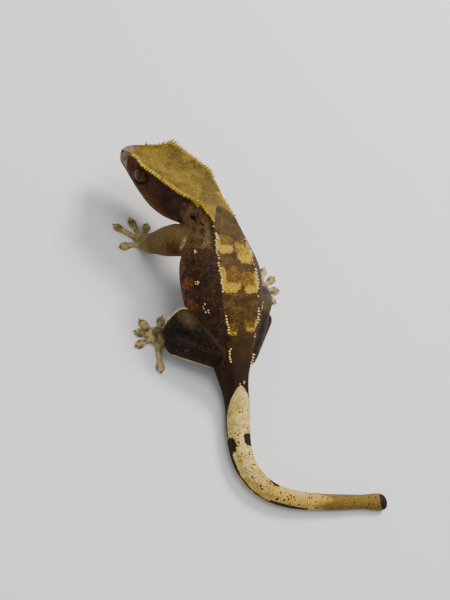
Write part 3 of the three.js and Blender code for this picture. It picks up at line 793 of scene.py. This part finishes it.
def markSkin(obj):
    p = readPoints(obj)
    at, angle, off = trunkPlace(p)
    back, out, height = headLocal(p)
    limb, part, isLeg = limbDistance(p)
    fromTop = turnGap(angle, np.pi / 2)                     # 0 on the spine line
    across = fromTop / (np.pi / 2 - ridgeAngle(at))         # 1 on the ridge
    side = np.where(np.cos(angle) < 0, 1, -1)
    onLimb = fade(off - limb, "limbEdge") * (1 - fade(limb, "limbReach"))
    onHead = fade(-back, "headRear") * (1 - fade(at, "headOnNeck")) * (1 - onLimb)
    onHead = onHead * np.maximum(fade(off, "headLift"), 1 - fade(at, "nape"))
    onTail = fade(at, "tail") * (1 - onLimb)
    onBody = (1 - onHead) * (1 - onLimb) * (1 - onTail)
    leg = onLimb * isLeg

    # the mustard cap runs on over the neck to a toothed edge, the band behind it is olive brown
    wider = 0.5 * (side < 0) * (1 - fade(at, "wideNeck"))
    dorsal = (1 - fade(across - wider, "ridge")) * (1 - onLimb)
    nape = dorsal * (1 - fade(at - 0.75 * np.minimum(across, 1.0) ** 1.5, "bandStart")) * (1 - onHead)
    band = dorsal * (1 - onTail) * (1 - onHead) * (1 - nape)

    rust, elbow = np.zeros(len(p)), np.zeros(len(p))
    for middle, half, low, wide in rustBlotches:
        rust = np.maximum(rust, blob(at - middle, half, fromTop - low, wide, 2.0))
    for middle, reach in elbowRust:
        elbow = np.maximum(elbow, bump(np.linalg.norm(p - np.array(middle), axis=1), 0, reach))
    steps = np.linalg.norm(np.diff(trunkFrames(trunkSteps)[0], axis=0), axis=1)
    run = np.interp(at, trunkSteps, np.concatenate([[0], np.cumsum(steps)]))
    between = 0.8 * bump(across, 0, 0.28) * bump(at, 4.7, 0.8)

    masks = {
        "limb": onLimb, "head": onHead, "tail": onTail, "leg": leg, "band": band,
        "palm": onLimb * fade(part, "palm"),
        "knee": leg * bump(part, 0.95, 0.22) * fade(p[:, 2], "kneeHeight"),
        "elbow": elbow * onLimb * (1 - isLeg),
        "elbowHighlight": onLimb * (1 - fade(rodDistance(p, *elbowHighlight, 0.2, 0.2)[0], "highlightEdge")),
        "belly": onBody * fade(fromTop, "belly"),
        "rust": rust * onBody,
        "neckSide": onBody * fade(across, "neckSide") * (1 - fade(at, "neckEnd")),
        "dimBack": np.maximum(fade(at, "dimBack"), between),
        "farther": fade(at, "farther"),
        "rump": fade(at, "rump") * (1 - onLimb),
        "run": run / tailScales["runSpan"],
        "holeShade": holeShadeMask(p),
        "spare": np.zeros(len(p)),
    }
    masks |= headMasks(back, out, height, onHead)
    masks |= blotchMasks(at, across, side, band)
    masks |= tailMasks(at, angle, onLimb, onTail)
    masks["capRim"] = np.maximum(masks["capRim"], nape * fade(across, "napeRim"))
    masks["cap"] = np.maximum(masks["cap"], nape)
    for name, four in layers.items():
        layer = obj.data.color_attributes.new(name, "FLOAT_COLOR", "POINT")
        values = np.clip(np.stack([masks[mask] for mask in four], 1), 0, 1).astype(np.float32)
        layer.data.foreach_set("color", values.reshape(-1))
    print("skin marked")


# materials

class Recipe:
    def __init__(self, name, roughness, specular=0.5, coat=0.0):
        self.material = bpy.data.materials.new(name)
        self.material.use_nodes = True
        self.nodes = self.material.node_tree.nodes
        self.links = self.material.node_tree.links
        self.shader = self.nodes["Principled BSDF"]
        self.shader.inputs["Roughness"].default_value = roughness
        self.shader.inputs["Specular IOR Level"].default_value = specular
        self.shader.inputs["Coat Weight"].default_value = coat
        self.shader.inputs["Coat Roughness"].default_value = 0.08
        self.coords = self.nodes.new("ShaderNodeTexCoord").outputs["Object"]
        self.relief = None
        self.layers = {}

    def put(self, socket, value):
        if hasattr(value, "links"):
            self.links.new(value, socket)
        elif isinstance(value, str):
            socket.default_value = (*tones[value], 1)
        elif isinstance(value, tuple):
            socket.default_value = (*value, 1)
        else:
            socket.default_value = value

    def noise(self, size, detail=3, roughness=0.55, warp=0.0):
        node = self.nodes.new("ShaderNodeTexNoise")
        node.inputs["Scale"].default_value = 1 / (size * mm)
        node.inputs["Detail"].default_value = detail
        node.inputs["Roughness"].default_value = roughness
        node.inputs["Distortion"].default_value = warp
        self.links.new(self.coords, node.inputs["Vector"])
        return node.outputs["Fac"]

    def cells(self, size, feature="F1", output="Distance"):
        node = self.nodes.new("ShaderNodeTexVoronoi")
        node.feature = feature
        node.inputs["Scale"].default_value = 1 / (size * mm)
        self.links.new(self.coords, node.inputs["Vector"])
        return node.outputs[output]

    def mask(self, name):
        layer, four = next((key, four) for key, four in (layers | eyeLayers).items() if name in four)
        if layer not in self.layers:
            attribute = self.nodes.new("ShaderNodeAttribute")
            attribute.attribute_name = layer
            split = self.nodes.new("ShaderNodeSeparateColor")
            self.links.new(attribute.outputs["Color"], split.inputs["Color"])
            self.layers[layer] = list(split.outputs) + [attribute.outputs["Alpha"]]
        return self.layers[layer][four.index(name)]

    def math(self, operation, a, b=0.0):
        node = self.nodes.new("ShaderNodeMath")
        node.operation = operation
        self.put(node.inputs[0], a)
        self.put(node.inputs[1], b)
        return node.outputs[0]

    def times(self, a, b):
        return self.math("MULTIPLY", a, b)

    def step(self, value, low, high):
        node = self.nodes.new("ShaderNodeMapRange")
        node.interpolation_type = "SMOOTHSTEP"
        node.inputs["From Min"].default_value = low
        node.inputs["From Max"].default_value = high
        self.put(node.inputs["Value"], value)
        return node.outputs["Result"]

    def mix(self, amount, a, b):
        node = self.nodes.new("ShaderNodeMix")
        node.data_type = "RGBA"
        self.put(node.inputs["Factor"], amount)
        self.put(node.inputs[6], a)
        self.put(node.inputs[7], b)
        return node.outputs[2]

    def ragged(self, mask, noise, amount=0.6, edge=0.12):
        shifted = self.math("ADD", mask, self.times(self.math("SUBTRACT", noise, 0.5), amount))
        return self.step(shifted, 0.5 - edge, 0.5 + edge)

    def emboss(self, height, depth, strength=1.0):
        node = self.nodes.new("ShaderNodeBump")
        node.inputs["Strength"].default_value = strength
        node.inputs["Distance"].default_value = depth * mm
        self.links.new(height, node.inputs["Height"])
        if self.relief is not None:
            self.links.new(self.relief, node.inputs["Normal"])
        self.relief = node.outputs["Normal"]

    def done(self, colour, roughness=None):
        self.put(self.shader.inputs["Base Color"], colour)
        if roughness is not None:
            self.put(self.shader.inputs["Roughness"], roughness)
        if self.relief is not None:
            self.links.new(self.relief, self.shader.inputs["Normal"])
        return self.material


scaleSize = 0.56
tones = {
    "flankDark": (0.020, 0.0072, 0.0020), "flank": (0.052, 0.021, 0.0066), "fleck": (0.24, 0.155, 0.075),
    "neckSide": (0.165, 0.103, 0.042), "band": (0.105, 0.056, 0.0085), "bandDark": (0.045, 0.0195, 0.0031),
    "cap": (0.275, 0.180, 0.019), "capDark": (0.108, 0.072, 0.011), "capEdge": (0.36, 0.210, 0.012),
    "patch": (0.140, 0.058, 0.0035), "patchLight": (0.19, 0.112, 0.010), "patchRim": (0.51, 0.32, 0.018),
    "patchWarm": (0.35, 0.215, 0.015), "rust": (0.25, 0.068, 0.004),
    # the olive tone is painted shade on the far tail and in the grooves between the tail rings
    "cream": (0.82, 0.62, 0.20), "gold": (0.58, 0.37, 0.050), "oliveShade": (0.20, 0.120, 0.016),
    "creamFar": (0.66, 0.43, 0.085), "goldFar": (0.48, 0.27, 0.025),
    "spot": (0.014, 0.005, 0.0012), "arm": (0.185, 0.125, 0.046), "armRust": (0.085, 0.026, 0.005),
    "leg": (0.0102, 0.0043, 0.0015), "hand": (0.53, 0.405, 0.165), "belly": (0.22, 0.14, 0.06),
    "snout": (0.31, 0.205, 0.118), "snoutDark": (0.165, 0.102, 0.060), "orange": (0.27, 0.115, 0.004),
    # the brow tone is near-black painted shade for the face under the overhanging cap
    "faceDark": (0.040, 0.0115, 0.0028), "faceRust": (0.145, 0.041, 0.0078), "brow": (0.0105, 0.0032, 0.0011),
    "faceLow": (0.20, 0.073, 0.019),
}


# the noises and scales that all parts of the skin share; scatter breaks marks up scale by scale
def skinTextures(r):
    split = r.nodes.new("ShaderNodeSeparateColor")
    r.links.new(r.cells(scaleSize, "F1", "Color"), split.inputs["Color"])
    chance, otherChance = split.outputs[0], split.outputs[1]
    fine, medium, broad = r.noise(0.9, 3), r.noise(2.2, 4, 0.6), r.noise(6.0, 3, 0.5, 0.6)
    grain = r.cells(scaleSize)
    middle = r.step(grain, 0.42, 0.14)
    return SimpleNamespace(
        fine=fine, medium=medium, broad=broad, grain=grain,
        chance=chance, otherChance=otherChance, middle=middle,
        seam=r.step(grain, 0.34, 0.62),
        flecks=r.times(r.step(chance, 0.45, 0.95), middle),
        scatter=r.math("ADD", r.times(chance, 0.45), r.times(medium, 0.55)),
    )


def neckColour(r, t):
    neck = r.mix(r.step(t.medium, 0.3, 0.66), "bandDark", "neckSide")
    return r.mix(r.times(t.flecks, 0.5), neck, "fleck")


def flankColour(r, t):
    flank = r.mix(r.step(t.medium, 0.36, 0.66), "flankDark", "flank")
    colour = r.mix(r.times(t.flecks, 0.5), flank, "fleck")
    colour = r.mix(r.mask("neckSide"), colour, neckColour(r, t))
    rust = r.mix(r.step(t.fine, 0.35, 0.65), "rust", "flank")
    colour = r.mix(r.ragged(r.mask("rust"), t.scatter, 1.7, 0.16), colour, rust)
    return r.mix(r.mask("belly"), colour, "belly")


def bandColour(r, t):
    band = r.mix(r.step(t.medium, 0.34, 0.68), "bandDark", "band")
    band = r.mix(r.times(r.step(t.otherChance, 0.4, 0.9), r.times(t.middle, 0.4)), band, "cap")
    lowBand = r.mix(t.medium, "flankDark", "bandDark")
    return r.mix(r.times(r.mask("dimBack"), 0.8), band, lowBand)


def patchColour(r, t):
    patch = r.mix(r.step(t.medium, 0.36, 0.66), "patch", "patchLight")
    patch = r.mix(r.times(r.step(t.otherChance, 0.6, 0.9), 0.5), patch, "bandDark")
    rimmed = r.mix(r.step(t.chance, 0.5, 0.95), "patchRim", "patchWarm")
    return r.mix(r.ragged(r.mask("patchRim"), t.scatter, 0.9, 0.2), patch, rimmed)


def faceColour(r, t):
    face = r.mix(r.step(t.medium, 0.3, 0.75), "faceDark", "faceRust")
    face = r.mix(r.times(r.mask("throat"), 0.75), face, "faceLow")
    face = r.mix(r.times(t.flecks, 0.2), face, "neckSide")
    face = r.mix(r.ragged(r.mask("headToNeck"), t.fine, 0.4, 0.25), face, neckColour(r, t))
    # painted shade under the overhanging cap darkens the upper face and the upper rear cheek
    return r.mix(r.times(r.mask("brow"), 0.75), face, "brow")


def capColour(r, t):
    cap = r.mix(r.step(t.broad, 0.36, 0.66), "cap", "capDark")
    cap = r.mix(r.times(r.step(t.medium, 0.42, 0.66), 0.5), cap, "capDark")
    cap = r.mix(r.times(r.step(t.otherChance, 0.35, 0.95), 0.3), cap, "capEdge")
    cap = r.mix(r.ragged(r.mask("capRim"), t.scatter, 0.9, 0.35), cap, "capEdge")
    return r.mix(r.times(r.step(t.chance, 0.945, 0.955), r.step(t.grain, 0.5, 0.3)), cap, "spot")


def limbColour(r, t):
    arm = r.mix(t.medium, "arm", "band")
    arm = r.mix(r.ragged(r.mask("elbow"), t.scatter, 1.0, 0.4), arm, "armRust")
    # the pale line behind the left elbow is a painted highlight on the rim of the arm
    arm = r.mix(r.times(r.mask("elbowHighlight"), r.step(t.scatter, 0.35, 0.6)), arm, "hand")
    thigh = r.mix(r.step(t.medium, 0.55, 0.8), "leg", "flankDark")
    thigh = r.mix(r.times(r.step(r.math("ADD", t.scatter, t.broad), 1.30, 1.42), 0.7), thigh, "rust")
    thigh = r.mix(r.times(r.ragged(r.mask("knee"), t.scatter, 0.9, 0.5), 0.35), thigh, "arm")
    limb = r.mix(r.mask("leg"), arm, thigh)
    limb = r.mix(r.mask("palm"), limb, r.mix(r.step(t.medium, 0.34, 0.6), "arm", "hand"))
    return r.mix(r.times(t.flecks, 0.25), limb, "fleck")


def tailColour(r, t, wave):
    golden = r.step(r.math("ADD", t.medium, r.times(r.mask("farTailShade"), 0.3)), 0.46, 0.70)
    tail = r.mix(golden, "cream", "gold")
    tail = r.mix(r.mask("farther"), tail, r.mix(golden, "creamFar", "goldFar"))
    # the darker olive far end of the tail is painted shade
    tail = r.mix(r.ragged(r.mask("farTailShade"), t.medium, 0.9, 0.4), tail, "oliveShade")
    # painted shade in the grooves between the tail rings
    grooveShade = r.times(r.step(wave, -0.1, -0.9), r.step(t.medium, 0.3, 0.5))
    tail = r.mix(r.times(grooveShade, 0.5), tail, "oliveShade")
    dots = r.times(r.step(r.cells(1.25), 0.31, 0.2), r.step(r.noise(3.4, 2), 0.42, 0.52))
    start = tailScales["dotStart"]
    dots = r.times(dots, r.step(r.mask("run"), start, start + tailScales["dotFade"]))
    tail = r.mix(dots, tail, "spot")
    tail = r.mix(r.ragged(r.mask("saddle"), t.scatter, 0.7, 0.1), tail, "spot")
    return r.mix(r.ragged(r.mask("tipDark"), t.scatter, 0.7, 0.12), tail, "bandDark")


def skinMaterial():
    r = Recipe("gecko_skin", 0.6, 0.14)
    t = skinTextures(r)
    wave = r.math("SINE", r.times(r.mask("run"), 2 * math.pi * tailScales["runSpan"] / tailScales["ringStep"]))
    colour = r.mix(r.ragged(r.mask("band"), t.fine, 0.6, 0.2), flankColour(r, t), bandColour(r, t))
    colour = r.mix(r.ragged(r.mask("patch"), t.scatter, 0.9, 0.1), colour, patchColour(r, t))
    colour = r.mix(r.mask("head"), colour, faceColour(r, t))
    colour = r.mix(r.ragged(r.mask("cap"), t.fine, 0.25, 0.1), colour, capColour(r, t))
    snout = r.mix(r.step(t.medium, 0.4, 0.64), "snoutDark", "snout")
    colour = r.mix(r.ragged(r.mask("snout"), t.medium, 0.6, 0.25), colour, snout)
    colour = r.mix(r.times(r.ragged(r.mask("orange"), t.scatter, 0.8, 0.2), 0.7), colour, "orange")
    colour = r.mix(r.mask("limb"), colour, limbColour(r, t))
    colour = r.mix(r.times(r.mask("rump"), 0.65), colour, "leg")
    colour = r.mix(r.ragged(r.mask("cream"), t.fine, 0.5, 0.1), colour, tailColour(r, t, wave))
    # painted shade darkens the mouth line, the ears, nostrils and neck fold; the seams between the scales are
    # darkened too
    for dark in (r.mask("mouth"), r.step(r.mask("holeShade"), 0.3, 0.6), r.times(t.seam, 0.28)):
        colour = r.mix(dark, colour, "spot")

    notTail = r.math("SUBTRACT", 1.0, r.mask("tail"))
    r.emboss(r.times(r.step(t.grain, 0.62, 0.1), notTail), 0.12, 0.85)
    rings = r.times(r.step(wave, -1.0, 0.2), r.mask("tail"))
    r.emboss(r.times(rings, r.step(r.cells(0.75), 0.7, 0.2)), 0.12, 0.9)
    r.emboss(t.medium, 0.14, 0.35)
    wet = r.math("ADD", 0.6, r.times(r.mask("snout"), -0.3))
    return r.done(colour, wet)


def spineMaterial(name, root, tip):
    r = Recipe(name, 0.55, 0.2)
    colour = r.mix(r.step(r.noise(1.6, 2), 0.4, 0.62), root, tip)
    r.emboss(r.noise(0.3, 2), 0.04, 0.5)
    return r.done(colour)


# spines, eyes and claws

spines = {
    "sides": 7,
    "cuts": (0.35, 0.7),
    "fuller": 0.5,
    "bend": 0.6,
    "sunk": 0.9,                                            # how far the root sits in the skin, in radii
    "capStep": 1.0,
    "capLength": 1.05,
    "lashLength": 1.5,
    "radius": 0.42,
    "capRange": (6.4, 31.0),
    "overEye": (12.2, 2.6),
    "tallPlace": 6.0,                                       # one tall thorn stands in front of the right brow
    "rowStep": 0.86,
    "rowShare": 0.22,
}


def thorn(name):
    clearSelection()
    bpy.ops.mesh.primitive_cone_add(
        vertices=spines["sides"], radius1=1, radius2=0.0, depth=1, location=(0, 0, 0.5))
    obj = bpy.context.object
    obj.name = name
    bpy.ops.object.transform_apply(location=True, rotation=True, scale=True)
    bpy.ops.object.mode_set(mode="EDIT")
    for height in spines["cuts"]:
        bpy.ops.mesh.select_all(action="SELECT")
        bpy.ops.mesh.bisect(plane_co=(0, 0, height), plane_no=(0, 0, 1))
    bpy.ops.object.mode_set(mode="OBJECT")
    for v in obj.data.vertices:                             # fuller below, bent over toward the tip
        z = v.co.z
        fuller = 1 + spines["fuller"] * math.sin(math.pi * min(max(z, 0), 1))
        v.co.x, v.co.y = v.co.x * fuller, v.co.y * fuller
        v.co.x += spines["bend"] * z * z
    return obj


def spreadThorns(pattern, name, spots):
    base = np.array([v.co[:] for v in pattern.data.vertices])
    faces = [tuple(f.vertices) for f in pattern.data.polygons]
    points, polygons = [], []
    for root, direction, length, radius, lean in spots:
        d = unit(np.array(direction, float))
        side = unit(np.array(lean, float) - d * np.dot(lean, d))
        over = np.cross(d, side)
        start, sunk = len(points), radius * spines["sunk"]
        moved = np.array(root) - d * sunk + base[:, :1] * side * radius + base[:, 1:2] * over * radius
        moved = moved + base[:, 2:] * d * (length + sunk)
        points += [tuple((q + np.array(planShift)) * mm) for q in moved]
        polygons += [tuple(start + i for i in f) for f in faces]
    mesh = bpy.data.meshes.new(name)
    mesh.from_pydata(points, [], polygons)
    obj = bpy.data.objects.new(name, mesh)
    bpy.context.collection.objects.link(obj)
    useOnly(obj)
    bpy.ops.object.mode_set(mode="EDIT")
    bpy.ops.mesh.select_all(action="SELECT")
    bpy.ops.mesh.normals_make_consistent(inside=False)
    bpy.ops.object.mode_set(mode="OBJECT")
    bpy.ops.object.shade_smooth()
    return obj


def capSpots():
    spots = []
    middle, spread = spines["overEye"]
    for sign in (-1, 1):
        back, last = spines["capRange"]
        while back < last:
            crestOut, crest = float(headSize("crestOut", back)), float(headSize("crest", back))
            root = headPoints(back, sign * (crestOut - 0.05), crest - 0.2)
            overEye = math.exp(-(((back - middle) / spread) ** 2))
            direction = headRight * sign * (0.85 + 0.15 * overEye) + headUp * (0.15 + 0.5 * overEye)
            direction = direction + headForward * rng.uniform(-0.22, 0.16)
            length = spines["capLength"] + spines["lashLength"] * overEye * rng.uniform(0.6, 1.0)
            length = length + rng.uniform(-0.2, 0.2)
            spots.append((root, direction, length, spines["radius"] * rng.uniform(0.85, 1.1), -headForward))
            back += spines["capStep"] * rng.uniform(0.8, 1.2)
    tall = spines["tallPlace"]
    brow = headPoints(tall, 3.6, float(headSize("crest", tall)))
    spots.append((brow, headUp + headRight * 0.2, 1.5, 0.38, headForward))
    return spots


def rowSpots(first, last):
    spots = []
    rows = {1: [(1.4, 3.0), (3.66, 4.75), (5.25, 6.4), (7.38, 8.16), (8.9, 9.5)],
            -1: [(1.8, 3.0), (3.95, 4.95), (5.5, 6.35), (7.1, 7.7), (9.0, 9.7)]}
    for hand in (1, -1):
        at = first
        while at < last:
            centre, _, _, forward, right, up = trunkFrames(at)
            inRow = any(a < at < b for a, b in rows[hand])
            if inRow or (at > 3 and rng.random() < spines["rowShare"]):
                ridge = (np.pi / 2 - ridgeAngle(at)) * rng.uniform(1.02, 1.14)
                angle = np.pi / 2 + hand * float(ridge)
                root = trunkPoints([at], [angle])[0]
                direction = up[0] * 0.8 - right[0] * hand * 0.6 - forward[0] * rng.uniform(-0.1, 0.3)
                length = rng.uniform(0.55, 0.85) if inRow else rng.uniform(0.2, 0.35)
                spots.append((root, direction, length, rng.uniform(0.36, 0.46), -forward[0]))
            pace = np.linalg.norm(trunkFrames(at + 0.1)[0][0] - centre[0]) / 0.1
            at += spines["rowStep"] * rng.uniform(0.85, 1.15) / pace
    return spots


fringe = {
    "openSide": (-0.45, -0.46, 0.77),                       # the way the webs of the thighs face
    "hemStep": 0.46,
    "hemRadius": 0.32,
    "kneeCount": 10,                                        # scales down the shin, and as many over the knee
    "kneeStep": 0.48,
    "kneeBend": 1.5,
    "kneeRadius": 0.34,
    "length": (0.3, 0.45),
    # single pale scales: place on the trunk, angle round it and how many
    "flanks": [(4.65, 2.72, 4), (5.98, 2.72, 7), (6.85, 2.65, 4), (7.02, 2.62, 3)],
    "hips": [(10.7, 1.40, 5), (10.85, 1.7, 4)],
}


# a pale hem behind each thigh and over each knee
def hemSpots():
    spots = []
    skyward = unit(np.array(fringe["openSide"]))
    for name, turn in (("left_leg", 1), ("right_leg", -1)):
        limb = limbs[name]
        a, b, ra, rb = limb["web"]
        a, b = np.array(a), np.array(b)
        along = unit(b - a)
        outward = np.cross(skyward, along)
        outward = unit(outward * np.sign(-outward[1]) + skyward * 0.25)
        count = int(np.linalg.norm(b - a) / fringe["hemStep"])
        for i in range(count):
            t = i / (count - 1)
            root = a + (b - a) * t + outward * (ra + (rb - ra) * t)
            length = rng.uniform(*fringe["length"])
            spots.append((root, outward + skyward * 0.3, length, fringe["hemRadius"], along))
        knee, ankle = np.array(limb["joints"][1]), np.array(limb["joints"][2])
        shin = unit(ankle - knee)
        front = unit(np.cross(shin, skyward) * turn)
        over = unit(-shin - skyward * np.dot(-shin, skyward))
        radius, half = limb["radii"][1], fringe["kneeCount"]
        for i in range(2 * half):
            if i < half:
                root = knee + shin * (fringe["kneeStep"] * (half - 1 - i)) + front * (radius + 0.25)
                direction = front
            else:
                bend = (i - half) / (half - 1) * fringe["kneeBend"]
                direction = front * math.cos(bend) + over * math.sin(bend)
                root = knee + direction * (radius + 0.2)
            length = rng.uniform(*fringe["length"])
            spots.append((root, direction + skyward * 0.3, length, fringe["kneeRadius"], shin))
    return spots


def singleSpots():
    spots = []
    otherFlank = [(at, math.pi - angle, count) for at, angle, count in fringe["flanks"]]
    for at, angle, count in fringe["flanks"] + fringe["hips"] + otherFlank:
        for _ in range(count):
            here, turn = at + rng.uniform(-0.1, 0.1), angle + rng.uniform(-0.06, 0.06)
            root = trunkPoints([here], [turn])[0]
            centre = trunkFrames(here)[0][0]
            spots.append((root, unit(root - centre), rng.uniform(0.12, 0.25), rng.uniform(0.3, 0.42), headUp))
    return spots


def clawSpots():
    spots = []
    for limb in limbs.values():
        palm = np.array(limb["palm"][:2])
        for tip in limb["digits"]:
            along = unit(np.array(tip) - palm)
            root = np.append(np.array(tip) - along * foot["clawSetBack"], foot["clawHeight"])
            direction = (along[0], along[1], 0.05)
            spots.append((root, direction, foot["clawLength"], foot["clawRadius"], (0, 0, -1.0)))
    return spots


eyeLook = {
    "faces": (64, 48),
    "slitWidth": 0.085,
    "slitReach": 0.66,
    "notchDepth": 0.018,                                    # the slit has a wavy edge
    "notches": 26,
    "slitEdge": 0.02,
}


def makeEye(sign, name):
    obj, share, angle, _ = unitBall(name, *eyeLook["faces"])
    polar = share * np.pi
    x, y, z = np.sin(polar) * np.cos(angle), np.sin(polar) * np.sin(angle), np.cos(polar)
    offset = np.outer(x, headForward) + np.outer(y, headUp) + np.outer(z, headRight * sign)
    setPoints(obj, eyeCentre(sign) + head["eyeRadius"] * offset)
    slit = eyeLook["slitWidth"] * np.clip(1 - (y / eyeLook["slitReach"]) ** 2, 0, 1)
    slit = slit + eyeLook["notchDepth"] * np.cos(y * eyeLook["notches"])
    pupil = smoothStep(slit - np.abs(x), -eyeLook["slitEdge"], eyeLook["slitEdge"]) * (z > 0)
    layer = obj.data.color_attributes.new("iris", "FLOAT_COLOR", "POINT")
    values = np.stack([pupil, np.hypot(x, y), np.ones(len(x)), np.ones(len(x))], 1).astype(np.float32)
    layer.data.foreach_set("color", values.reshape(-1))
    useOnly(obj)
    if sign < 0:
        bpy.ops.object.mode_set(mode="EDIT")
        bpy.ops.mesh.select_all(action="SELECT")
        bpy.ops.mesh.normals_make_consistent(inside=False)
        bpy.ops.object.mode_set(mode="OBJECT")
    bpy.ops.object.shade_smooth()
    return obj


def eyeMaterial():
    r = Recipe("gecko_eye", 0.25, 0.1, 0.08)
    veins = r.step(r.cells(0.55, "DISTANCE_TO_EDGE"), 0.02, 0.12)
    # the iris is the eye's own dark brown, darkened further as painted shade from the overhanging crest
    iris = r.mix(r.noise(0.8, 4, 0.6, 0.8), (0.030, 0.009, 0.0018), (0.12, 0.046, 0.010))
    iris = r.mix(veins, (0.018, 0.006, 0.0015), iris)
    iris = r.mix(r.step(r.mask("radius"), 0.62, 0.9), iris, (0.014, 0.0045, 0.0012))
    return r.done(r.mix(r.mask("pupil"), iris, (0.002, 0.0015, 0.001)))


markSkin(body)
body.data.materials.append(skinMaterial())

pattern = thorn("thorn")
creamy = spineMaterial("spine_cream", (0.58, 0.41, 0.11), (0.80, 0.66, 0.30))
mustard = spineMaterial("spine_mustard", (0.32, 0.20, 0.012), (0.52, 0.345, 0.045))
horn = spineMaterial("claw_horn", (0.03, 0.018, 0.01), (0.07, 0.045, 0.028))
pieces = [
    ("cap_spines", capSpots() + rowSpots(1.0, 3.1), mustard, "skin_cap"),
    ("back_spines", rowSpots(3.1, 9.8), creamy, "skin_cap"),
    ("fringe_scales", hemSpots() + singleSpots(), creamy, "skin_cream"),
    ("claws", clawSpots(), horn, "skin_dark"),
]
for name, spots, finish, slot in pieces:
    piece = spreadThorns(pattern, name, spots)
    piece.data.materials.append(finish)
    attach(piece, "root")
    print(name, len(spots))
bpy.data.objects.remove(pattern)

gloss = eyeMaterial()
for sign, name in ((-1, "left"), (1, "right")):
    eye = makeEye(sign, "eyeball_" + name)
    eye.data.materials.append(gloss)
    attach(eye, "root")
    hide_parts("eye_" + name)
print("eyes set")


# floor and light

stageSettings = {
    "floorSize": 3.0,
    "floorTone": (0.80, 0.80, 0.80),
    "lights": [
        ("key", (0.48, 0.46, 0.72), 0.35, 11.0, (1.0, 0.98, 0.95)),
        ("fill", (-0.6, -0.35, 0.6), 0.7, 1.2, (0.93, 0.96, 1.0)),
        ("top", (0.1, 0.1, 1.1), 0.8, 6.0, (1.0, 1.0, 1.0)),
    ],
    "sky": ((0.93, 0.95, 1.0), 0.37),
}


def makeStage():
    clearSelection()
    bpy.ops.mesh.primitive_plane_add(size=stageSettings["floorSize"], location=(0, 0, 0))
    floor = bpy.context.object
    floor.name = "floor"
    finish = Recipe("floor_matte", 0.8, 0.2)
    floor.data.materials.append(finish.done(stageSettings["floorTone"]))
    for name, spot, size, power, tone in stageSettings["lights"]:
        data = bpy.data.lights.new(name, "AREA")
        data.shape = "DISK"
        data.size, data.energy, data.color = size, power, tone
        lamp = bpy.data.objects.new(name, data)
        lamp.location = spot
        lamp.rotation_mode = "QUATERNION"
        lamp.rotation_quaternion = (-Vector(spot)).to_track_quat("-Z", "Y")
        bpy.context.collection.objects.link(lamp)
    world = bpy.data.worlds.new("studio")
    bpy.context.scene.world = world
    world.use_nodes = True
    tone, strength = stageSettings["sky"]
    world.node_tree.nodes["Background"].inputs[0].default_value = (*tone, 1)
    world.node_tree.nodes["Background"].inputs[1].default_value = strength


makeStage()
print("stage set")
